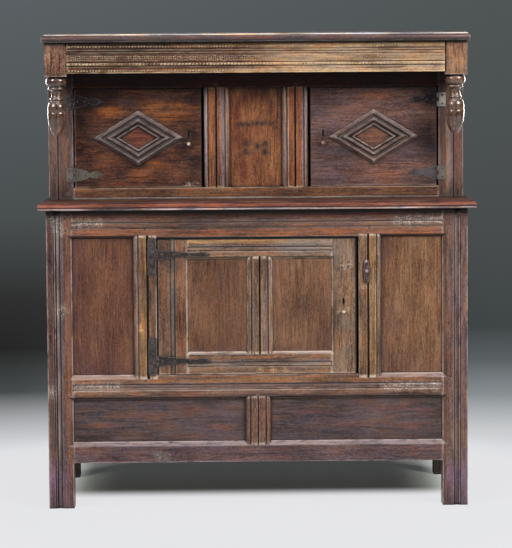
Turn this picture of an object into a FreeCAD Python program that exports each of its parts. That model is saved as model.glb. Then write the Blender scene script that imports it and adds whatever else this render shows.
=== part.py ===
import FreeCAD, Part
import math
import os
import Sketcher

# Court cupboard of joined oak, in two stages. Millimetres, +Z up, the front faces -Y.
# The origin is on the floor, under the middle of the ledge.

# Driving sizes
SIZES = {
    # the whole
    "base_height": 1009,
    "upper_height": 547,
    "overall_depth": 560,
    "case_width": 1376,
    "ledge_overhang": 32,
    "ledge_end_overhang": 26,
    "top_overhang": 16,
    "top_end_overhang": 8,
    # boards that close the stages
    "ledge_thick": 28,
    "top_thick": 30,
    "front_board_depth": 300,
    "soffit_thick": 12,
    "floor_thick": 16,
    "floor_board_width": 220,
    "back_board_thick": 14,
    "back_board_count": 6,
    # base frame
    "stile_width": 82,
    "stile_thick": 50,
    "rail_thick": 38,
    "leg_height": 150,
    "bottom_rail_width": 68,
    "apron_height": 140,
    "mid_rail_width": 81,
    "base_top_rail_width": 92,
    "door_bay_width": 658,
    "base_muntin_width": 76,
    "apron_muntin_width": 82,
    # upper frame
    "recess": 120,
    "upper_thick": 40,
    "upper_bottom_rail_width": 38,
    "upper_top_rail_width": 56,
    "upper_panel_width": 175,
    "upper_muntin_width": 87,
    # canopy
    "frieze_height": 100,
    "frieze_thick": 40,
    "soffit_rise": 8,
    "post_width": 74,
    "post_drop": 10,
    "post_chamfer": 5,
    "pendant_length": 190,
    "pendant_radius": 34,
    "pendant_spigot_radius": 24,
    # sides and back
    "side_thick": 40,
    "side_muntin_width": 72,
    "rear_stile_width": 60,
    "rear_stile_depth": 50,
    "back_rail_thick": 28,
    # joints between sticks
    "tenon_thick": 11,
    "tenon_length": 38,
    "tenon_trim": 9,
    "stub_tenon": 20,
    "rear_tenon": 28,
    "mortise_clearance": 2,
    "peg_across": 8,
    "peg_proud": 1,
    "peg_length": 28,
    "groove_depth": 9,
    "panel_play": 2,
    "panel_tongue": 7,
    "panel_thick": 12,
    "panel_setback": 15,
    # mouldings
    "channel_width": 24,
    "channel_depth": 3.5,
    "bevel_width": 14,
    "bevel_depth": 12,
    "arris_width": 9,
    "edge_moulding": 20,
    "vee_width": 4,
    "vee_depth": 4,
    "ledge_nose": 12,
    "top_nose": 15,
    # doors
    "upper_door_thick": 24,
    "upper_hinge_gap": 5,
    "lower_door_thick": 26,
    "lower_hinge_gap": 2.5,
    "lock_gap": 5,
    "door_play": 2,
    "door_hinge_stile": 98,
    "door_lock_stile": 81,
    "door_muntin_width": 85,
    "door_top_rail": 69,
    "door_bottom_rail": 73,
    "door_tenon": 30,
    "door_tenon_thick": 9,
    "door_panel_setback": 10,
    "door_panel_thick": 9,
    "door_panel_tongue": 6,
    "stop_length": 50,
    "stop_height": 12,
    "stop_gap": 0.5,
    # lozenge
    "lozenge_end_margin": 61.75,
    "lozenge_side_margin": 72.5,
    "lozenge_moulding": 45,
    "lozenge_thick": 12,
    # hinges
    "pin_radius": 2,
    "pin_clearance": 0.05,
    "barrel_radius": 3.2,
    "pin_proud": 3.5,
    "leaf_thick": 2.5,
    "leaf_stand": 3.6,
    "knuckle_gap": 0.5,
    "upper_barrel": 46,
    "upper_plate_width": 23,
    "upper_leaf_length": 98,
    "upper_hinge_inset": 42,
    "strap_length": 176,
    "strap_barrel": 36,
    "strap_inset_top": 53,
    "strap_inset_bottom": 44,
    "muntin_plate_width": 26,
    "muntin_plate_height": 120,
    # locks, knobs and the turn button
    "key_radius": 3.5,
    "key_height": 20,
    "key_slot": 4,
    "key_inset": 43,
    "key_rise": 12,
    "lock_width": 82,
    "lock_height": 58,
    "lock_thick": 14,
    "lock_set_in": 4,
    "bolt_height": 16,
    "bolt_thick": 7,
    "bolt_length": 60,
    "bolt_clearance": 0.3,
    "socket_clearance": 0.9,
    "bolt_throw": 12,
    "bolt_set_in": 1.5,
    "knob_radius": 6,
    "knob_length": 15,
    "knob_drop": 32,
    "button_length": 76,
    "button_width": 21,
    "button_thick": 5,
    "button_pin_radius": 3,
    "button_pin_head": 6,
    "button_over_key": 100,
    "button_shift": 28,
    "button_clearance": 0.4,
}

MIRROR_X = FreeCAD.Vector(1, 0, 0)
MIRROR_Z = FreeCAD.Vector(0, 0, 1)

doc = FreeCAD.newDocument("CourtCupboard")
sheet = doc.addObject("Spreadsheet::Sheet", "Sizes")
for row, (alias, number) in enumerate(SIZES.items(), start=1):
    sheet.set(f"A{row}", alias)
    sheet.set(f"B{row}", str(number))
    sheet.setAlias(f"B{row}", alias)
places = doc.addObject("Spreadsheet::Sheet", "Places")
doc.recompute()


# Lengths that carry their own expression

class Length:
    """A number and the expression over the sheets that gives it."""

    def __init__(self, text, number):
        self.text = text
        self.number = number

    def __add__(self, other):
        return joined(self, "+", other)

    def __sub__(self, other):
        return joined(self, "-", other)

    def __mul__(self, other):
        return joined(self, "*", other)

    def __truediv__(self, other):
        return joined(self, "/", other)

    def __neg__(self):
        return Length(f"(0 - {self.text})", -self.number)


def as_length(item):
    """Take a plain number, such as a share or zero, as a length."""
    return item if isinstance(item, Length) else Length(repr(item), float(item))


ZERO = as_length(0)


def joined(first, sign, second):
    """Combine two lengths in number and in expression."""
    first, second = as_length(first), as_length(second)
    number = {
        "+": lambda a, b: a + b,
        "-": lambda a, b: a - b,
        "*": lambda a, b: a * b,
        "/": lambda a, b: a / b,
    }[sign](first.number, second.number)
    return Length(f"({first.text} {sign} {second.text})", number)


class Sizes:
    """The driving sizes, each as a Length."""

    def __getattr__(self, alias):
        return Length(f"Sizes.{alias}", float(SIZES[alias]))


size = Sizes()
place_rows = {}


def place(alias, length):
    """Keep a derived place in the second sheet under its own name."""
    row = len(place_rows) + 1
    place_rows[alias] = row
    places.set(f"A{row}", alias)
    places.set(f"B{row}", f"={length.text}")
    places.setAlias(f"B{row}", alias)
    return Length(f"Places.{alias}", length.number)


# Places in plan: half widths from the middle, and depths from the front
case_half = place("case_half", size.case_width / 2)
stile_in = place("stile_in", case_half - size.stile_width)
side_in = place("side_in", case_half - size.side_thick)
rear_in = place("rear_in", case_half - size.rear_stile_width)
ledge_half = place("ledge_half", case_half + size.ledge_end_overhang)
top_half = place("top_half", case_half + size.top_end_overhang)
post_in = place("post_in", case_half - size.post_width)
bay_half = place("bay_half", size.door_bay_width / 2)
muntin_out = place("muntin_out", bay_half + size.base_muntin_width)
upper_panel_half = place("upper_panel_half", size.upper_panel_width / 2)
upper_muntin_out = place("upper_muntin_out", upper_panel_half + size.upper_muntin_width)

ledge_front = place("ledge_front", -(size.overall_depth / 2))
back = place("back", size.overall_depth / 2)
front = place("front", ledge_front + size.ledge_overhang)
stile_back = place("stile_back", front + size.stile_thick)
rail_back = place("rail_back", front + size.rail_thick)
upper_front = place("upper_front", front + size.recess)
upper_back = place("upper_back", upper_front + size.upper_thick)
rear_front = place("rear_front", back - size.rear_stile_depth)
board_front = place("board_front", back - size.back_board_thick)
back_rail_front = place("back_rail_front", board_front - size.back_rail_thick)
post_back = place("post_back", front + size.post_width)
board_joint = place("board_joint", ledge_front + size.front_board_depth)

# Levels above the floor
overall_height = place("overall_height", size.base_height + size.upper_height)
bottom_sight = place("bottom_sight", size.leg_height + size.bottom_rail_width)
mid_rail_low = place("mid_rail_low", bottom_sight + size.apron_height)
bay_low = place("bay_low", mid_rail_low + size.mid_rail_width)
base_top = place("base_top", size.base_height - size.ledge_thick)
bay_high = place("bay_high", base_top - size.base_top_rail_width)
canopy_top = place("canopy_top", overall_height - size.top_thick)
frieze_low = place("frieze_low", canopy_top - size.frieze_height)
soffit_low = place("soffit_low", frieze_low + size.soffit_rise)
post_low = place("post_low", frieze_low - size.post_drop)
upper_low = place("upper_low", size.base_height + size.upper_bottom_rail_width)
upper_high = place("upper_high", soffit_low - size.upper_top_rail_width)
doc.recompute()


# Solids from expressions

PLACEMENTS = {
    "X": (FreeCAD.Rotation(FreeCAD.Vector(1, 1, 1), 120), FreeCAD.Vector(1, 0, 0), "x"),
    "Y": (FreeCAD.Rotation(FreeCAD.Vector(1, 0, 0), 90), FreeCAD.Vector(0, 1, 0), "y"),
    "Z": (FreeCAD.Rotation(), FreeCAD.Vector(0, 0, 1), "z"),
}


def bind(item, prop, length):
    """Tie one property of an object to an expression."""
    item.setExpression(prop, as_length(length).text)


def box(x_span, y_span, z_span, name="block"):
    """A block between two expressions on each axis."""
    block = doc.addObject("Part::Box", name)
    for prop, axis, (low, high) in zip(("Length", "Width", "Height"), "xyz", (x_span, y_span, z_span)):
        bind(block, prop, as_length(high) - low)
        bind(block, f"Placement.Base.{axis}", low)
    return block


def fuse(pieces, name="joined"):
    """One solid from pieces that meet."""
    whole = doc.addObject("Part::MultiFuse", name)
    whole.Shapes = pieces
    return whole


def group(pieces, name="group"):
    """Separate solids kept as one set."""
    together = doc.addObject("Part::Compound", name)
    together.Links = pieces
    return together


def cut(base, tools, name="cut"):
    """The base without the tools."""
    result = doc.addObject("Part::Cut", name)
    result.Base = base
    result.Tool = tools[0] if len(tools) == 1 else group(tools, "tools")
    return result


def mirrored(item, normal=MIRROR_X, level=None, name="mirrored"):
    """The same piece on the other side of a plane across X or Z."""
    twin = doc.addObject("Part::Mirroring", name)
    twin.Source = item
    twin.Normal = normal
    if level is not None:
        bind(twin, "Base.z" if normal.z else "Base.x", level)
    return twin


def rod(axis, centre, span, radius, name="rod"):
    """A cylinder along an axis. The centre gives the two other places, in X, Y, Z order."""
    item = doc.addObject("Part::Cylinder", name)
    low, high = span
    bind(item, "Radius", radius)
    bind(item, "Height", as_length(high) - low)
    if axis == "X":
        item.Placement.Rotation = FreeCAD.Rotation(FreeCAD.Vector(0, 1, 0), 90)
        spots = (low, centre[0], centre[1])
    elif axis == "Y":
        item.Placement.Rotation = FreeCAD.Rotation(FreeCAD.Vector(1, 0, 0), -90)
        spots = (centre[0], low, centre[1])
    else:
        spots = (centre[0], centre[1], low)
    for letter, spot in zip("xyz", spots):
        bind(item, f"Placement.Base.{letter}", spot)
    return item


def arc_radius(start, end, sag):
    """Radius of the arc with this chord and this rise."""
    across, along = end[0] - start[0], end[1] - start[1]
    chord_square = across * across + along * along
    rise = sag if sag.number > 0 else -sag
    return (chord_square / 4 + rise * rise) / (rise * 2)


def draw(profile, outline):
    """Draw a closed outline in a sketch, with every point and arc tied to the sizes.

    A point is (across, up) or (across, up, rise): with a rise, an arc leads to the point, and it swells
    to the left of its way when the rise is positive.
    """
    points = [tuple(as_length(part) for part in point) for point in outline]
    edges = []
    for index, point in enumerate(points):
        start = points[index - 1]
        first = FreeCAD.Vector(start[0].number, start[1].number, 0)
        last = FreeCAD.Vector(point[0].number, point[1].number, 0)
        if len(point) == 3:
            along = last - first
            left = FreeCAD.Vector(-along.y, along.x, 0).normalize()
            middle = (first + last) * 0.5 + left * point[2].number
            profile.addGeometry(Part.Arc(first, middle, last))
            edges.append((2, 1) if point[2].number > 0 else (1, 2))
        else:
            profile.addGeometry(Part.LineSegment(first, last))
            edges.append((1, 2))
    rules = []
    bindings = []
    for index, point in enumerate(points):
        following = (index + 1) % len(points)
        end = edges[index][1]
        rules.append(Sketcher.Constraint("Coincident", index, end, following, edges[following][0]))
        for kind, part in zip(("DistanceX", "DistanceY"), point[:2]):
            bindings.append((len(rules), part))
            rules.append(Sketcher.Constraint(kind, -1, 1, index, end, part.number))
        if len(point) == 3:
            radius = arc_radius(points[index - 1], point, point[2])
            bindings.append((len(rules), radius))
            rules.append(Sketcher.Constraint("Radius", index, radius.number))
    profile.addConstraint(rules)
    for rule, part in bindings:
        profile.setExpression(f"Constraints[{rule}]", part.text)


def stick(axis, span, outline, name="stick"):
    """A length of one section. The outline is in (Y, Z), (X, Z) or (X, Y) for a stick along X, Y or Z."""
    turn, direction, letter = PLACEMENTS[axis]
    section = doc.addObject("Sketcher::SketchObject", f"{name}_section")
    section.Placement.Rotation = turn
    bind(section, f"Placement.Base.{letter}", span[0])
    draw(section, outline)
    length = doc.addObject("Part::Extrusion", name)
    length.Base = section
    length.DirMode = "Custom"
    length.Dir = direction
    length.Solid = True
    bind(length, "LengthFwd", as_length(span[1]) - span[0])
    return length


def origin_plane(body, role):
    """One of the origin planes of a body."""
    return [feature for feature in body.Origin.OriginFeatures if feature.Role == role][0]


def body_sketch(body, role, outline, name):
    """A sketch on an origin plane of a body."""
    profile = body.newObject("Sketcher::SketchObject", name)
    profile.AttachmentSupport = [(origin_plane(body, role), "")]
    profile.MapMode = "FlatFace"
    draw(profile, outline)
    return profile


def turned(outline, name):
    """A body turned about its own vertical axis. The outline is in (radius, height)."""
    body = doc.addObject("PartDesign::Body", name)
    profile = body_sketch(body, "XZ_Plane", outline, f"{name}_profile")
    revolve = body.newObject("PartDesign::Revolution", f"{name}_turning")
    revolve.Profile = profile
    revolve.ReferenceAxis = (profile, ["V_Axis"])
    revolve.Angle = 360
    body.Tip = revolve
    return body


NODES = []


def node(item, name):
    """Give a finished sub-part the label that names its file."""
    item.Label = name
    NODES.append(item)
    return item


# Joinery shared by the sticks

def moved(place_length, direction, distance):
    """A place shifted by a distance, forwards or backwards along its axis."""
    return place_length + distance if direction > 0 else place_length - distance


def tenon(axis, shoulder, direction, first_span, second_span, length=None):
    """A tenon and the mortise for it. The spans are the two other axes, in X, Y, Z order."""
    length = length or size.tenon_length
    blocks = []
    for reach in (length, length + size.mortise_clearance):
        far = moved(shoulder, direction, reach)
        span = (shoulder, far) if direction > 0 else (far, shoulder)
        spans = {"X": (span, first_span, second_span),
                 "Y": (first_span, span, second_span),
                 "Z": (first_span, second_span, span)}[axis]
        blocks.append(box(*spans, name="tenon" if reach is length else "mortise"))
    return blocks


def centred(low, thickness, width):
    """A span of one width in the middle of a thickness."""
    start = low + (thickness - width) / 2
    return (start, start + width)


def trimmed(span, trim=None):
    """A span drawn in at both ends, as a tenon is on its rail."""
    trim = trim or size.tenon_trim
    return (span[0] + trim, span[1] - trim)


# Face points of the run mouldings: share of the width, share of the depth, and the rise of an arc as a
# share of the depth, which is hollow when it is positive and round when it is negative
REED_SHARES = [(0, 0), (0.16, 1), (0.84, 1, -0.75), (1, 0)]


def run_moulding(shares, start, width, depth):
    """Face points of a moulding that starts at one place along the face."""
    return [(start + width * along, depth * deep, *[depth * rise for rise in bend])
            for along, deep, *bend in shares]


def reed_channel(start, width=None, depth=None):
    """Face points of a shallow channel with a reed between two quirks."""
    return run_moulding(REED_SHARES, start, width or size.channel_width, depth or size.channel_depth)


def vee(middle):
    """Face points of a single cut line."""
    half = size.vee_width / 2
    return [(middle - half, ZERO), (middle, size.vee_depth), (middle + half, ZERO)]


def rail_outline(face, thick, z_span, face_points):
    """Section of a rail: (Y, Z) points from its lower front corner up the face and round the back."""
    rising = [(face, z_span[0])]
    for point in face_points:
        bend = [-point[2]] if len(point) == 3 else []
        rising.append((face + point[1], point[0], *bend))
    rising.append((face, z_span[1]))
    return rising + [(face + thick, z_span[1]), (face + thick, z_span[0])]


def stile_outline(face, thick, x_span, face_points):
    """Section of a stile: (X, Y) points along the face from low X to high X and round the back."""
    across = [(x_span[0], face)]
    for point in face_points:
        bend = [point[2]] if len(point) == 3 else []
        across.append((point[0], face + point[1], *bend))
    across.append((x_span[1], face))
    return across + [(x_span[1], face + thick), (x_span[0], face + thick)]


def bevels(x_sight, z_sight, face, growth, depth):
    """Cutter for the stopped bevels round a panel. The growth is left, right, below and above."""
    cutter = doc.addObject("Part::Wedge", "bevels")
    bind(cutter, "Ymin", face)
    bind(cutter, "Ymax", face + depth)
    left, right, below, above = growth
    bind(cutter, "Xmin", x_sight[0] - left)
    bind(cutter, "Xmax", x_sight[1] + right)
    bind(cutter, "Zmin", z_sight[0] - below)
    bind(cutter, "Zmax", z_sight[1] + above)
    bind(cutter, "X2min", x_sight[0])
    bind(cutter, "X2max", x_sight[1])
    bind(cutter, "Z2min", z_sight[0])
    bind(cutter, "Z2max", z_sight[1])
    return cutter


def panel(x_sight, z_sight, face, setback, thick, tongue, name):
    """A panel for one opening and the cutter for its grooves. It rests on the lower groove's floor."""
    reach = size.groove_depth - size.panel_play
    y_front = face + setback
    tongue_span = (y_front, y_front + tongue)
    sheet_board = box((x_sight[0] - reach, x_sight[1] + reach), tongue_span,
                      (z_sight[0] - size.groove_depth, z_sight[1] + reach), f"{name}_tongue")
    field = doc.addObject("Part::Wedge", f"{name}_field")
    bind(field, "Ymin", y_front + tongue)
    bind(field, "Ymax", y_front + thick)
    shy = size.panel_play
    for axis, (low, high) in (("X", x_sight), ("Z", z_sight)):
        bind(field, f"{axis}min", low + shy)
        bind(field, f"{axis}max", high - shy)
        bind(field, f"{axis}2min", low + shy + size.edge_moulding)
        bind(field, f"{axis}2max", high - shy - size.edge_moulding)
    groove = box((x_sight[0] - size.groove_depth, x_sight[1] + size.groove_depth), tongue_span,
                 (z_sight[0] - size.groove_depth, z_sight[1] + size.groove_depth), f"{name}_groove")
    return fuse([sheet_board, field], name), groove


def peg(axis, face, direction, spots, name="peg"):
    """An eight-sided peg that stands a little proud of its face."""
    item = doc.addObject("Part::Prism", name)
    item.Polygon = 8
    half_side_angle = math.radians(180 / item.Polygon)
    bind(item, "Circumradius", size.peg_across / 2 / math.cos(half_side_angle))
    bind(item, "Height", size.peg_length + size.peg_proud)
    start = moved(face, -direction, size.peg_proud)
    if axis == "X":
        item.Placement.Rotation = FreeCAD.Rotation(FreeCAD.Vector(0, 1, 0), 90 * direction)
        corner = (start, spots[0], spots[1])
    else:
        item.Placement.Rotation = FreeCAD.Rotation(FreeCAD.Vector(1, 0, 0), -90 * direction)
        corner = (spots[0], start, spots[1])
    for letter, spot in zip("xyz", corner):
        bind(item, f"Placement.Base.{letter}", spot)
    return item


PEG_LEVEL_SHARE = 0.28


def two_levels(span):
    """Two peg levels on one joint."""
    inset = (span[1] - span[0]) * PEG_LEVEL_SHARE
    return [span[0] + inset, span[1] - inset]


def both_sides(x_place):
    """The same half width on the left and on the right."""
    return [-x_place, x_place]


# Base: front frame

BASE_RAILS = {
    "base_bottom_rail": (size.leg_height, bottom_sight),
    "base_mid_rail": (mid_rail_low, bay_low),
    "base_top_rail": (bay_high, base_top),
}
# Shares of the rail's width, from its lower edge, at which its channel starts
RAIL_CHANNEL_SHARES = {
    "base_mid_rail": 0.346,
    "base_top_rail": 0.323,
}


def rails_between(spans, x_reach, face, thick, channels):
    """Blanks of the rails of one front frame, their tenons and the mortises in the right stile."""
    blanks, tenons, mortises = {}, {}, []
    for name, z_span in spans.items():
        width = z_span[1] - z_span[0]
        points = reed_channel(z_span[0] + width * channels[name]) if name in channels else []
        outline = rail_outline(face, thick, z_span, points)
        blanks[name] = stick("X", (-x_reach, x_reach), outline, f"{name}_blank")
        y_span = centred(face, thick, size.tenon_thick)
        right, mortise = tenon("X", x_reach, 1, y_span, trimmed(z_span))
        left, _ = tenon("X", -x_reach, -1, y_span, trimmed(z_span))
        tenons[name] = [left, right]
        mortises.append(mortise)
    return blanks, tenons, mortises


# The ovolo along a muntin's edge, from the edge inwards
OVOLO_SHARES = [(0, 0.8), (0.66, 0.1, -0.22), (0.74, 0.34), (1, 0)]


def double_moulded(x_span, line_at):
    """Face points of a muntin with an ovolo along both edges and a cut line between."""
    low, high = x_span
    near = run_moulding(OVOLO_SHARES, low, size.edge_moulding, size.bevel_depth)
    far = run_moulding(OVOLO_SHARES, high, -size.edge_moulding, size.bevel_depth)
    places = [point[:2] for point in reversed(far)]
    far = places[:-1] + [(*places[-1], near[1][2])]
    return [*near, *vee(line_at), *far]


def single_moulded(x_span, line_at):
    """Face points of a muntin that is moulded along its high X edge only."""
    points = double_moulded(x_span, line_at)
    return points[4:]


def moulded_outline(face, thick, x_span, face_points):
    """Section of a stick whose moulding runs out at its edges."""
    low, high = x_span
    points = [(point[0], face + point[1], *point[2:]) for point in face_points]
    if face_points[0][0].text != low.text:
        points.insert(0, (low, face))
    return points + [(high, face + thick), (low, face + thick)]


def scribed_muntin(x_span, z_span, overlap, outline, rails, tenon_y, name, tenon_length=None):
    """A muntin whose face runs on over the bevels of two rails, with a tenon at each end."""
    low, high = z_span
    blank = stick("Z", (low - overlap[0], high + overlap[1]), outline, f"{name}_stick")
    fitted = cut(blank, rails, f"{name}_scribed")
    lower, lower_mortise = tenon("Z", low, -1, trimmed(x_span), tenon_y, tenon_length)
    upper, upper_mortise = tenon("Z", high, 1, trimmed(x_span), tenon_y, tenon_length)
    return fuse([fitted, lower, upper], f"{name}_blank"), [lower_mortise, upper_mortise]


# How far the muntins' pegs stand from the rail's edge, as shares of half a tenon
MUNTIN_PEG_SHARES = {"top rail": 1.5, "mid rail": 1, "under mid rail": 0.5}


def frame_peg_spots():
    """X and Z of the pegs in the base's front frame."""
    spots = []
    in_stile = stile_in + size.tenon_length / 2
    for z_span in BASE_RAILS.values():
        for level in two_levels(z_span):
            spots += [(side, level) for side in both_sides(in_stile)]
    in_rail = size.tenon_length / 2
    for side in both_sides((bay_half + muntin_out) / 2):
        spots.append((side, bay_high + in_rail * MUNTIN_PEG_SHARES["top rail"]))
        spots.append((side, bay_low - in_rail * MUNTIN_PEG_SHARES["mid rail"]))
    spots.append((ZERO, mid_rail_low + in_rail * MUNTIN_PEG_SHARES["under mid rail"]))
    spots.append((ZERO, bottom_sight - in_rail * MUNTIN_PEG_SHARES["mid rail"]))
    return spots


BASE_LINE_SHARE = 0.42


def make_base_front():
    """Front stiles, rails, muntins and panels of the base."""
    blanks, tenons, stile_mortises = rails_between(
        BASE_RAILS, stile_in, front, size.rail_thick, RAIL_CHANNEL_SHARES)

    side_bevels = bevels((bay_half, stile_in), (bay_low, bay_high), front,
                         (ZERO, size.bevel_width, size.bevel_width, size.arris_width),
                         size.bevel_depth)
    apron_bevels = bevels((-stile_in, stile_in), (bottom_sight, mid_rail_low), front,
                          (size.bevel_width, size.bevel_width, size.bevel_width, size.arris_width),
                          size.bevel_depth)
    bevel_tools = [side_bevels, mirrored(side_bevels), apron_bevels]
    bevelled = {name: cut(blank, bevel_tools, f"{name}_bevelled") for name, blank in blanks.items()}

    tenon_y = centred(front, size.rail_thick, size.tenon_thick)
    base_span, line = (bay_half, muntin_out), bay_half + size.base_muntin_width * BASE_LINE_SHARE
    muntin, muntin_mortises = scribed_muntin(
        base_span, (bay_low, bay_high), (size.bevel_width, size.arris_width),
        moulded_outline(front, size.rail_thick, base_span, single_moulded(base_span, line)),
        [bevelled["base_mid_rail"], bevelled["base_top_rail"]], tenon_y, "base_muntin")
    apron_half = place("apron_half", size.apron_muntin_width / 2)
    apron_span = (-apron_half, apron_half)
    apron_muntin, apron_mortises = scribed_muntin(
        apron_span, (bottom_sight, mid_rail_low), (size.bevel_width, size.arris_width),
        moulded_outline(front, size.rail_thick, apron_span, double_moulded(apron_span, ZERO)),
        [bevelled["base_bottom_rail"], bevelled["base_mid_rail"]], tenon_y, "apron_muntin",
        size.stub_tenon)

    side_panel, side_groove = panel((muntin_out, stile_in), (bay_low, bay_high), front,
                                    size.panel_setback, size.panel_thick, size.panel_tongue, "base_panel")
    low_panel, low_groove = panel((apron_half, stile_in), (bottom_sight, mid_rail_low), front,
                                  size.panel_setback, size.panel_thick, size.panel_tongue, "apron_panel")
    grooves = [side_groove, mirrored(side_groove), low_groove, mirrored(low_groove)]
    node(mirrored(side_panel), "base_panel_left")
    node(side_panel, "base_panel_right")
    node(group([mirrored(low_panel), low_panel]), "apron_panels")

    pegs = group([peg("Y", front, 1, spot) for spot in frame_peg_spots()], "base_pegs")
    rail_mortises = [piece for pair in (muntin_mortises, apron_mortises) for piece in pair]
    rail_mortises += [mirrored(piece) for piece in muntin_mortises]
    for name, piece in bevelled.items():
        whole = fuse([piece, *tenons[name]], f"{name}_whole")
        tools = [*grooves, *rail_mortises, pegs]
        if name == "base_bottom_rail":
            tools.append(floor_bed())
        node(cut(whole, tools), name)
    node(cut(apron_muntin, [*grooves, pegs]), "apron_muntin")
    finished = cut(muntin, [*grooves, pegs], "base_muntin_grooved")
    return finished, stile_mortises, [*bevel_tools, *grooves, pegs], pegs


# A quirk, a hollow and a bead
STILE_MOULDING_SHARES = [(0, 0), (0.1, 1), (0.22, 0.3), (0.62, 0.5, 0.8), (0.7, 1), (0.92, 1, -0.9), (1, 0)]
STILE_MOULDING_PLACE_SHARE = 0.56


def front_stile_face():
    """Face points of the base stile, with its run moulding near the outer edge."""
    start = case_half - size.stile_width * STILE_MOULDING_PLACE_SHARE
    return run_moulding(STILE_MOULDING_SHARES, start, size.channel_width, size.channel_depth)


def make_front_stiles(mortises, cutters, side_mortises, side_grooves):
    """The base's front stiles, which run down as the feet and up to the ledge."""
    outline = stile_outline(front, size.stile_thick, (stile_in, case_half), front_stile_face())
    blank = stick("Z", (ZERO, base_top), outline, "front_stile")
    right = cut(blank, [*mortises, *cutters, *side_mortises, *side_grooves], "front_stile_cut")
    node(mirrored(right), "front_stile_left")
    node(right, "front_stile_right")


def floor_bed():
    """The rebate in the bottom rails that the floor boards lie in."""
    low = bottom_sight - size.floor_thick
    lap = size.tenon_trim
    return box((-(side_in + lap), side_in + lap), (rail_back - lap, back_rail_front + lap),
               (low, bottom_sight), "floor_bed")


# Sides

SIDE_RAILS = {
    "low": (size.leg_height, bottom_sight),
    "middle": (mid_rail_low, bay_low),
    "high": (bay_high, base_top),
}


def side_rail(y_span, z_span, name):
    """One rail of the right side with a tenon at each end, and its two mortises, front and rear."""
    x_span = centred(side_in, size.side_thick, size.tenon_thick)
    blank = box((side_in, case_half), y_span, z_span, name)
    ahead, front_mortise = tenon("Y", y_span[0], -1, x_span, trimmed(z_span), size.stub_tenon)
    behind, rear_mortise = tenon("Y", y_span[1], 1, x_span, trimmed(z_span))
    return fuse([blank, ahead, behind], f"{name}_whole"), front_mortise, rear_mortise


def side_panel(y_sight, z_sight, name):
    """A flat side panel in its grooves, on the right side."""
    reach = size.groove_depth - size.panel_play
    outer = case_half - size.panel_setback
    x_span = (outer - size.panel_tongue, outer)
    board = box(x_span, (y_sight[0] - reach, y_sight[1] + reach),
                (z_sight[0] - size.groove_depth, z_sight[1] + reach), name)
    groove = box(x_span, (y_sight[0] - size.groove_depth, y_sight[1] + size.groove_depth),
                 (z_sight[0] - size.groove_depth, z_sight[1] + size.groove_depth), f"{name}_groove")
    return board, groove


def make_sides():
    """Side rails, muntin and panels, built on the right and mirrored."""
    rails, front_mortises, rear_mortises, pegs = [], [], [], []
    base_y = (stile_back, rear_front)
    upper_y = (upper_back, rear_front)
    canopy_y = (post_back, rear_front)
    spans = [(base_y, z_span) for z_span in SIDE_RAILS.values()]
    spans += [(upper_y, (size.base_height, upper_low)), (canopy_y, (soffit_low, canopy_top))]
    for y_span, z_span in spans:
        rail, ahead, behind = side_rail(y_span, z_span, "side_rail")
        rails.append(rail)
        front_mortises.append(ahead)
        rear_mortises.append(behind)
        for level in two_levels(z_span):
            pegs.append(peg("X", case_half, -1, (rear_front + size.tenon_length / 2, level)))

    middle = (stile_back + rear_front) / 2
    muntin_y = (middle - size.side_muntin_width / 2, middle + size.side_muntin_width / 2)
    muntin_x = centred(side_in, size.side_thick, size.tenon_thick)
    muntin = box((side_in, case_half), muntin_y, (bay_low, bay_high), "side_muntin")
    lower, lower_mortise = tenon("Z", bay_low, -1, muntin_x, trimmed(muntin_y))
    upper, upper_mortise = tenon("Z", bay_high, 1, muntin_x, trimmed(muntin_y))
    muntin = fuse([muntin, lower, upper], "side_muntin_whole")

    openings = [
        (base_y, (bottom_sight, mid_rail_low)),
        ((stile_back, muntin_y[0]), (bay_low, bay_high)),
        ((muntin_y[1], rear_front), (bay_low, bay_high)),
        (upper_y, (upper_low, soffit_low)),
    ]
    boards, grooves = zip(*[side_panel(*spans, "side_panel") for spans in openings])
    side_pegs = group(pegs, "side_pegs")
    stile_mortise = upper_stile_tenon()[1]
    tools = [*grooves, lower_mortise, upper_mortise, side_pegs, floor_bed(), stile_mortise]
    right_rails = group([cut(piece, tools, "side_rail_cut") for piece in [*rails, muntin]], "side_rails")
    right_boards = group(list(boards), "side_boards")
    node(mirrored(right_rails), "side_rails_left")
    node(right_rails, "side_rails_right")
    node(mirrored(right_boards), "side_panels_left")
    node(right_boards, "side_panels_right")
    return front_mortises, rear_mortises, list(grooves), side_pegs


# Back

BACK_RAILS = [
    (size.leg_height, bottom_sight),
    (base_top - size.bottom_rail_width, base_top),
    (canopy_top - size.bottom_rail_width, canopy_top),
]


def make_back(side_mortises, side_grooves, side_pegs):
    """Rear stiles, back rails and the boards nailed to them."""
    rails, mortises = [], []
    y_span = (back_rail_front, board_front)
    tenon_y = centred(back_rail_front, size.back_rail_thick, size.tenon_thick)
    for z_span in BACK_RAILS:
        blank = box((-rear_in, rear_in), y_span, z_span, "back_rail")
        right, mortise = tenon("X", rear_in, 1, tenon_y, trimmed(z_span), size.rear_tenon)
        left, _ = tenon("X", -rear_in, -1, tenon_y, trimmed(z_span), size.rear_tenon)
        rails.append(fuse([blank, left, right], "back_rail_whole"))
        mortises.append(mortise)
    rails[0] = cut(rails[0], [floor_bed()], "back_rail_bedded")
    node(group(rails), "back_rails")

    blank = box((rear_in, case_half), (rear_front, back), (ZERO, canopy_top), "rear_stile")
    right = cut(blank, [*mortises, *side_mortises, *side_grooves, side_pegs], "rear_stile_cut")
    node(mirrored(right), "rear_stile_left")
    node(right, "rear_stile_right")

    boards = []
    width = rear_in * 2 / size.back_board_count
    for z_span in ((size.leg_height, base_top), (size.base_height, canopy_top)):
        for index in range(SIZES["back_board_count"]):
            low = -rear_in + width * index
            boards.append(box((low, low + width), (board_front, back), z_span, "back_board"))
    node(group(boards), "back_boards")


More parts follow.
